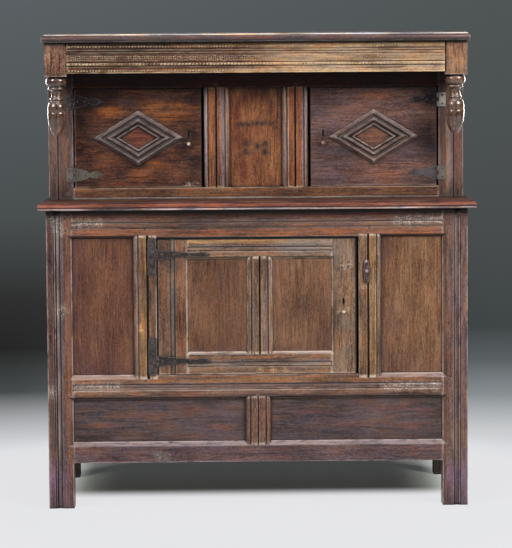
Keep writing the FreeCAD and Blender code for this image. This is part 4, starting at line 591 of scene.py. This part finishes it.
def finish_upper_doors():
    """The two board doors, the left one redder and the right one painted lighter as if lit, and their lozenges."""
    sliver = (upper_spots([(-0.204, 1.054), (-0.225, 1.052)]), 0.022, PALE, 0.8)
    left, right = "upper_left_door_board", "upper_right_door_board"
    wood([left], "x", DOOR_BOARD, 12.2, LEFT_DOOR_STAINS, [sliver], outer_edges(left, ("right", "high"), 0.003),
         upper_spots([(-0.2225, 1.2245)]), hue=0.9, shine=0.2, coat=0.05)
    wood([right], "x", PAINTED_LIT_DOOR, 13.8, RIGHT_DOOR_STAINS, (), outer_edges(right, ("left", "right", "high"), 0.003),
         upper_spots([(0.2225, 1.2245)]), hue=0.7, shine=0.35, coat=0.1)
    wood(["upper_left_door_lozenge"], "x", LOZENGE, 14.5, wear=0.5, film=0.3, hue=0.4)
    bronze = (upper_spots([(0.394, 1.2125)]), 0.20, (98, 66, 52), 0.85, LONG)
    wood(["upper_right_door_lozenge"], "x", LOZENGE, 34.5, [bronze], wear=0.7, film=0.3, hue=0.8)


def finish_lower_door():
    """Frame of the lower door, with rust by the straps and bare grey wood by the lock."""
    worn_strap = (front_spots([(-0.235, 0.847), (-0.215, 0.846), (-0.195, 0.845), (-0.175, 0.844)]), 0.008,
                  (214, 190, 160), 0.9)
    glow = (front_spots([(0.01, 0.452), (0.05, 0.453), (0.09, 0.453)]), 0.018, (222, 190, 140), 0.9)
    silver = (front_spots([(0.22, 0.866), (0.17, 0.860), (0.12, 0.855)]), 0.065, (130, 120, 114), 0.8, (0.6, 0.1, 1))
    wood(["lower_door_rails"], "x", DOOR_RAIL, 15.1, [silver], [worn_strap, glow],
         outer_edges("lower_door_stiles", ("high",), 0.0045), wear=0.9, film=0.5)
    dents = (front_spots([(0.303, 0.798), (0.285, 0.790), (0.295, 0.65), (0.27, 0.645)]), 0.018, PALE, 0.9)
    rust = (front_spots([(-0.30, 0.83), (-0.27, 0.80), (-0.30, 0.485)]), 0.04, (62, 52, 54), 0.7)
    ash = (front_spots([(0.28, 0.865), (0.30, 0.84), (0.26, 0.84), (0.285, 0.50), (0.275, 0.46), (0.29, 0.60)]), 0.05,
           (120, 110, 102), 0.75, (1.3, 0.1, 0.7))
    wood(["lower_door_stiles"], "z", DOOR_RAIL, 16.4, [rust, ash], [dents],
         [*outer_edges("lower_door_stiles", ("left",), 0.0028),
          *outer_edges("lower_door_stiles", ("right", "high"), 0.0045)],
         front_spots([(0.281, 0.676)]), wear=0.9)
    wood(["lower_door_muntin"], "z", DOOR_RAIL, 46.4, shade_lines=[(X, DOOR_MIDDLE, 0.003)], wear=0.9)


def dull_end(colour, strength):
    """The stain that dulls the left of the frieze and of its cuts."""
    return front_spots([(-0.62, 1.476), (-0.45, 1.476)]), 0.70, colour, strength


def finish_canopy_and_ledge():
    """Frieze, posts with their pendants, ledge and top."""
    gold_end = (front_spots([(0.50, 1.476), (0.25, 1.476)]), 0.34, (208, 180, 146), 0.6)
    wood(["frieze_rail"], "x", FRIEZE, 17.7, [dull_end((58, 28, 25), 0.9), gold_end], coat=0.0, shine=0.25,
         cloudy=0.7, hue=1.0)
    turned = ([(side * 0.651, -0.216, z) for side in (-1, 1) for z in (1.39, 1.33, 1.27)], 0.095, (38, 25, 21), 0.95)
    # Painted light on the right post and its block
    painted_light_patch = (front_spots([(0.645, 1.50), (0.66, 1.46), (0.64, 1.435)]), 0.07, (162, 128, 98), 0.6)
    wood(both("pendant_post"), "z", POST, 18.2, [turned, painted_light_patch], rough=0.24, wear=0.5, coat=1.0, gloss=0.08,
         dust=0.1)
    wood(["ledge_front_board"], "x", LEDGE, 19.6, rough=0.42, coat=0.0, film=0.0, shine=0.25, wear=0.3)
    wood(["top_boards", "ledge_rear_board"], "x", TOP, 20.9, film=0.0, wear=0.35, hue=1.0)


def finish_sides_and_back():
    """Sides, pegs, and the plain wood of the back and inside."""
    wood(both("side_rails"), "y", STILE, 21.5)
    wood(both("side_panels"), "z", LEFT_PANEL, 22.3, wear=0.2)
    pegged = (front_spots([(-0.651, z) for z in (1.45, 1.50)]), 0.07, (134, 98, 80), 1.0)
    # The right pegs lighter with the painted light on their block
    painted_lit_pegs = (front_spots([(0.651, z) for z in (1.45, 1.50)]), 0.07, (156, 122, 92), 1.0)
    wood(["frame_pegs"], "y", PEG, 23.1, [pegged, painted_lit_pegs], **PEG_END)
    wood(["lower_door_pegs"], "y", DOOR_RAIL, 43.1, **PEG_END)
    wood(["back_boards", "door_stops"], "z", PLAIN, 24.4, **DRY)
    # Painted shade on the rear stiles
    wood(both("rear_stile"), "z", REAR_IN_SHADE, 44.4, **DRY)
    wood(["back_rails"], "x", PLAIN, 25.8, **DRY)
    wood(["floor_boards"], "y", PLAIN, 26.2, **DRY)


RUST = (44, 30, 27)
PIT = (24, 18, 18)
# Colour of bare edges, lightened as painted highlight too
BARE_IRON_AND_GLINT = (190, 180, 168)


def iron(name, tone, seed, bright=0.7, marks=()):
    """Wrought iron, dark and pitted, with rust in patches and bare metal on the edges, which is also painted
    highlight.

    tone is its usual colour, bright how much bare metal and painted highlight its edges show, and marks are as the
    oak's stains.
    """
    s = Shader(name)
    broad = s.noise(s.stretch(s.place, (1, 1, 1), (seed, 0, 0)), 90, 4, 0.7)
    pits = s.noise(s.place, 420, 3, 0.6)
    colour = s.ramp(broad, [(0.34, rgb(*RUST)), (0.50, rgb(*tone)), (0.66, rgb(*[t * 1.5 for t in tone]))])
    for points, radius, mark, strength in marks:
        colour = s.mix(s.math("MULTIPLY", s.near(points, radius), strength), colour, rgb(*mark))
    colour = s.mix(s.math("MULTIPLY", s.fit(pits, 0.5, 0.62), 0.35), colour, rgb(*PIT))
    # Edges: bare metal and painted highlight
    worn_and_highlit = s.math("MULTIPLY", s.arrises(0.002), s.fit(pits, 0.35, 0.5))
    colour = s.mix(s.math("MULTIPLY", worn_and_highlit, bright), colour, rgb(*BARE_IRON_AND_GLINT))
    s.put(s.surface.inputs["Base Color"], colour)
    s.put(s.surface.inputs["Roughness"], s.fit(broad, 0.3, 0.7, 0.66, 0.45))
    s.surface.inputs["Metallic"].default_value = 0.2
    s.surface.inputs["Specular IOR Level"].default_value = 0.35
    normal = s.bump(s.math("ADD", broad, s.math("MULTIPLY", pits, 0.6)), 0.0012, 0.7)
    s.put(s.surface.inputs["Normal"], normal)
    return s


def finish_iron():
    """Hinges, knobs, the turn button and the locks. Gives back the iron of the nails."""
    dark = iron("iron_dark", (52, 45, 46), 1.1)
    paint(dark, ["lower_door_straps"])
    # Painted highlight on the top of the turn button and its pin
    glint = (front_spots([(0.355, 0.809), (0.357, 0.776)]), 0.008, (190, 176, 190), 0.9)
    paint(iron("iron_button", (74, 58, 62), 6.4, 0.9, [glint]), ["turn_button", "button_pin"])
    grey_leaf = (upper_spots([(-0.57, 1.09), (-0.55, 1.09)]), 0.06, (104, 98, 92), 0.8)
    lilac_leaf = (upper_spots([(0.55, 1.09), (0.57, 1.09)]), 0.05, (98, 92, 98), 0.7)
    paint(iron("iron_leaves", (32, 22, 30), 2.7, 0.7, [grey_leaf, lilac_leaf]),
          ["upper_left_door_hinges", "upper_right_door_hinges"])
    silver = (upper_spots([(0.618, 1.334)]), 0.06, (176, 172, 168), 0.9)
    grey = (upper_spots([(-0.618, 1.09), (0.618, 1.09)]), 0.05, (116, 108, 104), 0.8)
    paint(iron("iron_plates", (66, 60, 62), 3.3, marks=[silver, grey]), ["hinge_frame_plates"])
    # The pale knobs: pale metal with a painted highlight
    paint(iron("iron_knobs_and_highlight", (196, 178, 150), 5.2, 0.9), ["upper_left_door_knob", "lower_door_knob"])
    paint(iron("iron_dull_knob", (134, 100, 92), 7.3, 0.9), ["upper_right_door_knob"])
    paint(iron("iron_hidden", (12, 9, 9), 4.1, 0.1), [n for n in NODES if "bolt" in n or "lock_case" in n])
    return dark


# Softened edges

SOFT_EDGE = 0.0016
SOFT_EDGE_STEPS = 2
WELD_REACH = 0.00001
# Turns in the surface that count as flat, and as an arris, in degrees
FLAT_TURN = 0.5
ARRIS_TURN = 30
# Words in the names of the pieces whose edges stay as they are
AS_MADE = ("pendant_post", "knob", "hinge", "straps", "pin", "pegs", "button", "bolt", "lock_case")


def soften_edges():
    """Rounds the arrises of every wooden piece, as two centuries of rubbing leave them."""
    for name, node in NODES.items():
        weld = node.modifiers.new("weld", "WELD")
        weld.merge_threshold = WELD_REACH
        if any(word in name for word in AS_MADE):
            continue
        flat = node.modifiers.new("flat", "DECIMATE")
        flat.decimate_type = "DISSOLVE"
        flat.angle_limit = math.radians(FLAT_TURN)
        bevel = node.modifiers.new("arris", "BEVEL")
        bevel.width = SOFT_EDGE
        bevel.segments = SOFT_EDGE_STEPS
        bevel.limit_method = "ANGLE"
        bevel.angle_limit = math.radians(ARRIS_TURN)
        bevel.use_clamp_overlap = True


# Small pieces that are left to the looks

def joined_piece(name, mesh_maker, shader, body):
    """A new piece from one mesh, with its finish, riding on its body."""
    build = bmesh.new()
    mesh_maker(build)
    mesh = bpy.data.meshes.new(name)
    build.to_mesh(mesh)
    build.free()
    piece = bpy.data.objects.new(name, mesh)
    bpy.context.scene.collection.objects.link(piece)
    mesh.materials.append(shader.material)
    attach(piece, body)


def surface_y(node, x, z):
    """Where the front of a node is, straight in from the front at x and z."""
    start = Vector((x, CAD_BOX[0].y - 0.1, z))
    hit, place, _, _ = NODES[node].ray_cast(start, Vector((0, 1, 0)))
    if not hit:
        raise ValueError(f"{node} isn't there at {x}, {z}")
    return place.y


# Rings of a dome, from its edge to its tip, as shares of its radius
DOME_RINGS = (1.0, 0.82, 0.45)


def dome(build, place, radius, height, sides, turn=0.0):
    """A low hammered dome that faces the front, sunk a little into what carries it."""
    x, y, z = place
    levels = []
    for share in DOME_RINGS:
        rise = height * math.sqrt(max(0.0, 1 - share * share))
        ring = []
        for k in range(sides):
            angle = turn + math.tau * k / sides
            ring.append(build.verts.new((x + radius * share * math.cos(angle), y - rise,
                                         z + radius * share * math.sin(angle))))
        levels.append(ring)
    back = [build.verts.new((v.co.x, y + height * 0.5, v.co.z)) for v in levels[0]]
    tip = build.verts.new((x, y - height, z))
    for inner, outer in zip(levels, [back, *levels[:-1]]):
        for k in range(sides):
            build.faces.new((outer[k], outer[k - 1], inner[k - 1], inner[k]))
    for k in range(sides):
        build.faces.new((levels[-1][k], levels[-1][k - 1], tip))
    build.faces.new(back)


NAIL_RADIUS = 0.0042
NAIL_RISE = 0.0018
NAIL_SIDES = 7
UPPER_DOOR_LOW, UPPER_DOOR_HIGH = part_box("upper_left_door_board")
UPPER_HINGES = (UPPER_DOOR_LOW[2] + 0.042, UPPER_DOOR_HIGH[2] - 0.042)
LOWER_DOOR_LOW, LOWER_DOOR_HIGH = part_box("lower_door_stiles")
STRAPS = (LOWER_DOOR_LOW[2] + 0.044, LOWER_DOOR_HIGH[2] - 0.053)
# Nails of each body: the node that they are driven through, and their x and z
NAILS = {
    "root": [
        ("hinge_frame_plates", [(side * 0.619, z + dz) for side in (-1, 1) for z in UPPER_HINGES
                                for dz in (-0.014, 0.014)]),
        ("hinge_frame_plates", [(-0.345, z + dz) for z in (STRAPS[0] + 0.016, STRAPS[1] - 0.007)
                                for dz in (-0.048, -0.012, 0.040)]),
    ],
    "upper_left_door": [
        ("upper_left_door_hinges", [(x, z) for x in (-0.592, -0.566, -0.518) for z in UPPER_HINGES]),
    ],
    "upper_right_door": [
        ("upper_right_door_hinges", [(x, z) for x in (0.592, 0.566, 0.518) for z in UPPER_HINGES]),
    ],
    "lower_door": [
        ("lower_door_straps", [(x, z) for x in (-0.312, -0.272, -0.222, -0.166) for z in STRAPS]),
        ("lower_door_stiles", [(0.275, 0.803), (0.299, 0.806), (0.277, 0.788), (0.297, 0.791)]),
    ],
}


def drive_nails(shader):
    """Rose-headed nails through the hinges, with no two heads quite alike."""
    chance = random.Random(7)
    for body, rows in NAILS.items():
        def heads(build, rows=rows):
            for node, places in rows:
                for x, z in places:
                    size = NAIL_RADIUS * chance.uniform(0.82, 1.12)
                    dome(build, (x, surface_y(node, x, z), z), size, NAIL_RISE, NAIL_SIDES, chance.uniform(0, 1))
        joined_piece(f"nails_{body}", heads, shader, body)


FRIEZE_LOW, FRIEZE_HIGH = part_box("frieze_rail")
FRIEZE_HALF = 0.606
# Rows along the frieze: share of its height, size of a cut or punch, the step from one to the next, how far
# one may stray, and its sides. Three rows of raised cuts come first, then the three of the punched band
FRIEZE_ROWS = (
    (0.29, 0.0030, 0.0115, 0.0005, 8), (0.86, 0.0026, 0.0098, 0.0005, 8), (0.08, 0.0026, 0.0098, 0.0005, 8),
    (0.42, 0.0019, 0.0072, 0.0012, 6), (0.48, 0.0019, 0.0072, 0.0012, 6), (0.54, 0.0019, 0.0072, 0.0012, 6),
)
CUT_RISE = 0.0016
CUT_WIDER = 1.35
CUT_LEAN = 0.3


def frieze_row(build, chance, share, tall, pitch, stray, sides):
    """One row of raised cuts, each a little off its place."""
    z_row = FRIEZE_LOW[2] + (FRIEZE_HIGH[2] - FRIEZE_LOW[2]) * share
    for k in range(int(FRIEZE_HALF * 2 / pitch) + 1):
        x = -FRIEZE_HALF + pitch * k + chance.uniform(-stray, stray)
        z = z_row + chance.uniform(-stray, stray)
        first = len(build.verts)
        dome(build, (x, surface_y("frieze_rail", x, z), z), tall * chance.uniform(0.8, 1.1), CUT_RISE, sides)
        build.verts.ensure_lookup_table()
        for vert in build.verts[first:]:
            vert.co.x = x + (vert.co.x - x) * CUT_WIDER + (vert.co.z - z) * CUT_LEAN


def carve_frieze(shader):
    """The rows of small raised cuts along the frieze, and the punched band between them."""
    chance = random.Random(3)

    def rows(build):
        for row in FRIEZE_ROWS:
            frieze_row(build, chance, *row)

    joined_piece("frieze_gouges", rows, shader, "root")


# Camera, lights, floor and backdrop

def place_camera():
    """The photograph's view, level but for its small pitch and roll."""
    yaw, pitch, roll = (math.radians(a) for a in (CAMERA_YAW, CAMERA_PITCH, CAMERA_ROLL))
    ahead = Vector((math.sin(yaw) * math.cos(pitch), math.cos(yaw) * math.cos(pitch), -math.sin(pitch)))
    right = Vector((math.cos(yaw), -math.sin(yaw), 0))
    up = right.cross(ahead)
    tilted_right = right * math.cos(roll) + up * math.sin(roll)
    tilted_up = up * math.cos(roll) - right * math.sin(roll)
    data = bpy.data.cameras.new("camera")
    data.lens = CAMERA_LENS
    data.sensor_width = CAMERA_SENSOR
    data.shift_y = CAMERA_SHIFT
    data.clip_end = CAMERA_REACH
    camera = bpy.data.objects.new("camera", data)
    axes = Matrix((tilted_right, tilted_up, -ahead)).transposed().to_4x4()
    camera.matrix_world = Matrix.Translation(CAMERA_PLACE) @ axes
    bpy.context.scene.collection.objects.link(camera)
    bpy.context.scene.camera = camera


# Two large soft boxes from the front and above, one overhead, and a strip behind each turned pendant:
# place, what it faces, width and height, watts, and spread in degrees
LAMPS = {
    "light_left": ((-3.6, -3.4, 3.7), (-0.1, -0.2, 0.75), (2.1, 2.1), 211, 180),
    "light_right": ((3.6, -3.4, 3.7), (0.1, -0.2, 0.75), (2.1, 2.1), 301, 180),
    "light_top": ((0.0, -1.3, 4.2), (0, -0.2, 0.6), (2.4, 0.8), 40, 180),
    "edge_left": ((-1.8, 1.8, 1.5), (-0.69, -0.2, 1.33), (0.14, 1.0), 1.0, 40),
    "edge_right": ((1.8, 1.8, 1.5), (0.69, -0.2, 1.33), (0.14, 1.0), 1.0, 40),
}
LAMP_TINT = (255, 250, 244)


def place_lights():
    """The lamps, each turned to what it faces."""
    for name, (place, aim, size, power, spread) in LAMPS.items():
        data = bpy.data.lights.new(name, "AREA")
        data.shape = "RECTANGLE"
        data.spread = math.radians(spread)
        data.size, data.size_y = size
        data.energy = power
        data.color = rgb(*LAMP_TINT)[:3]
        lamp = bpy.data.objects.new(name, data)
        turn = (Vector(aim) - Vector(place)).to_track_quat("-Z", "Y").to_matrix().to_4x4()
        lamp.matrix_world = Matrix.Translation(place) @ turn
        bpy.context.scene.collection.objects.link(lamp)


# Backdrop tones by how far a line of sight rises, on the left and on the right
WORLD_LOW, WORLD_HIGH = -0.215, 0.045
WORLD_LEFT = (
    (-0.215, (236, 236, 239)), (-0.195, (224, 225, 229)), (-0.180, (178, 180, 183)), (-0.163, (70, 74, 74)),
    (-0.140, (38, 38, 38)), (-0.115, (46, 47, 46)), (-0.070, (74, 79, 80)), (0.045, (91, 96, 100)),
)
WORLD_RIGHT = (
    (-0.215, (236, 236, 239)), (-0.200, (222, 224, 229)), (-0.184, (200, 202, 204)), (-0.166, (136, 143, 146)),
    (-0.148, (92, 97, 100)), (-0.130, (64, 70, 70)), (-0.085, (72, 76, 76)), (0.045, (80, 86, 86)),
)
# From where to where across the view the left tones pass into the right ones
WORLD_SIDES = (-0.12, 0.14)
WORLD_LIGHT = 0.10
WORLD_TINT = (236, 240, 246)


def light_world():
    """A studio backdrop for what looks past the object, and a plain soft light for the object."""
    world = bpy.data.worlds.new("studio")
    bpy.context.scene.world = world
    world.use_nodes = True
    g = Graph(world.node_tree)
    parts = g.node("ShaderNodeSeparateXYZ")
    g.put(parts.inputs[0], g.node("ShaderNodeTexCoord").outputs["Generated"])
    height = g.fit(parts.outputs["Z"], WORLD_LOW, WORLD_HIGH, kind="LINEAR")
    across = g.fit(parts.outputs["X"], *WORLD_SIDES, kind="LINEAR")
    left, right = [g.ramp(height, [((at - WORLD_LOW) / (WORLD_HIGH - WORLD_LOW), rgb(*tone)) for at, tone in stops])
                   for stops in (WORLD_LEFT, WORLD_RIGHT)]
    seen = g.node("ShaderNodeBackground")
    g.put(seen.inputs["Color"], g.mix(across, left, right))
    lit = g.node("ShaderNodeBackground")
    lit.inputs["Color"].default_value = rgb(*WORLD_TINT)
    lit.inputs["Strength"].default_value = WORLD_LIGHT
    both_lights = g.blend(g.looked_at(), lit.outputs[0], seen.outputs[0])
    g.put(g.node("ShaderNodeOutputWorld").inputs["Surface"], both_lights)


FLOOR_HALF = 3.0
# The floor is solid out to the first distance from the origin and gone at the second
FLOOR_SOLID = 0.95
FLOOR_GONE = 1.35
FLOOR_WHITE = (236, 236, 239)
FLOOR_PAPER = ((152, 160, 152), (160, 168, 160))
# Middle and half sizes of the ground under and behind the object, from which the floor's own shading
# fades into plain white
SHADED_MIDDLE = (0.0, 0.37)
SHADED_HALF = (0.58, 0.33)
SHADED_FADE = 0.15
# Share of plain white on that ground and beyond it
PLAIN_SHARES = (0.04, 0.88)


def lay_floor():
    """A pale floor that fades into the backdrop, so that its far edge never shows.

    Under the object it is lit by the lamps alone, and further out it is as white as the backdrop.
    """
    mesh = bpy.data.meshes.new("floor")
    corners = [(x * FLOOR_HALF, y * FLOOR_HALF, 0) for x, y in ((-1, -1), (1, -1), (1, 1), (-1, 1))]
    mesh.from_pydata(corners, [], [(0, 1, 2, 3)])
    floor = bpy.data.objects.new("floor", mesh)
    bpy.context.scene.collection.objects.link(floor)
    s = Shader("floor_paper")
    cloud = s.noise(s.place, 1.5, 2)
    dim, bright = (rgb(*tone) for tone in FLOOR_PAPER)
    s.put(s.surface.inputs["Base Color"], s.ramp(cloud, [(0.3, dim), (0.7, bright)]))
    s.surface.inputs["Roughness"].default_value = 0.85
    length = s.node("ShaderNodeVectorMath", operation="LENGTH")
    s.put(length.inputs[0], s.place)
    alpha = s.fit(length.outputs["Value"], FLOOR_GONE, FLOOR_SOLID)

    apart = s.node("ShaderNodeSeparateXYZ")
    s.put(apart.inputs[0], s.place)
    gaps = []
    for axis, (middle, half) in enumerate(zip(SHADED_MIDDLE, SHADED_HALF)):
        gap = s.math("ABSOLUTE", s.math("SUBTRACT", apart.outputs[axis], middle))
        gaps.append(s.math("MAXIMUM", s.math("SUBTRACT", gap, half), 0.0))
    squares = [s.math("MULTIPLY", gap, gap) for gap in gaps]
    away = s.math("SQRT", s.math("ADD", *squares))
    white = s.node("ShaderNodeEmission")
    white.inputs["Color"].default_value = rgb(*FLOOR_WHITE)
    plain = s.math("MULTIPLY", s.fit(away, 0.0, SHADED_FADE, *PLAIN_SHARES), s.looked_at())
    paper = s.blend(plain, s.surface.outputs[0], white.outputs[0])
    clear = s.node("ShaderNodeBsdfTransparent").outputs[0]
    s.put(s.output.inputs["Surface"], s.blend(alpha, clear, paper))
    mesh.materials.append(s.material)


finish_base_frame()
finish_upper_frame()
finish_panels()
finish_upper_doors()
finish_lower_door()
finish_canopy_and_ledge()
finish_sides_and_back()
nail_iron = finish_iron()
soften_edges()
drive_nails(nail_iron)
carve_frieze(oak("oak_gouges", "x", GOLDEN, 27.3, [dull_end((92, 60, 46), 0.85)], coat=0.05))
place_camera()
place_lights()
light_world()
lay_floor()
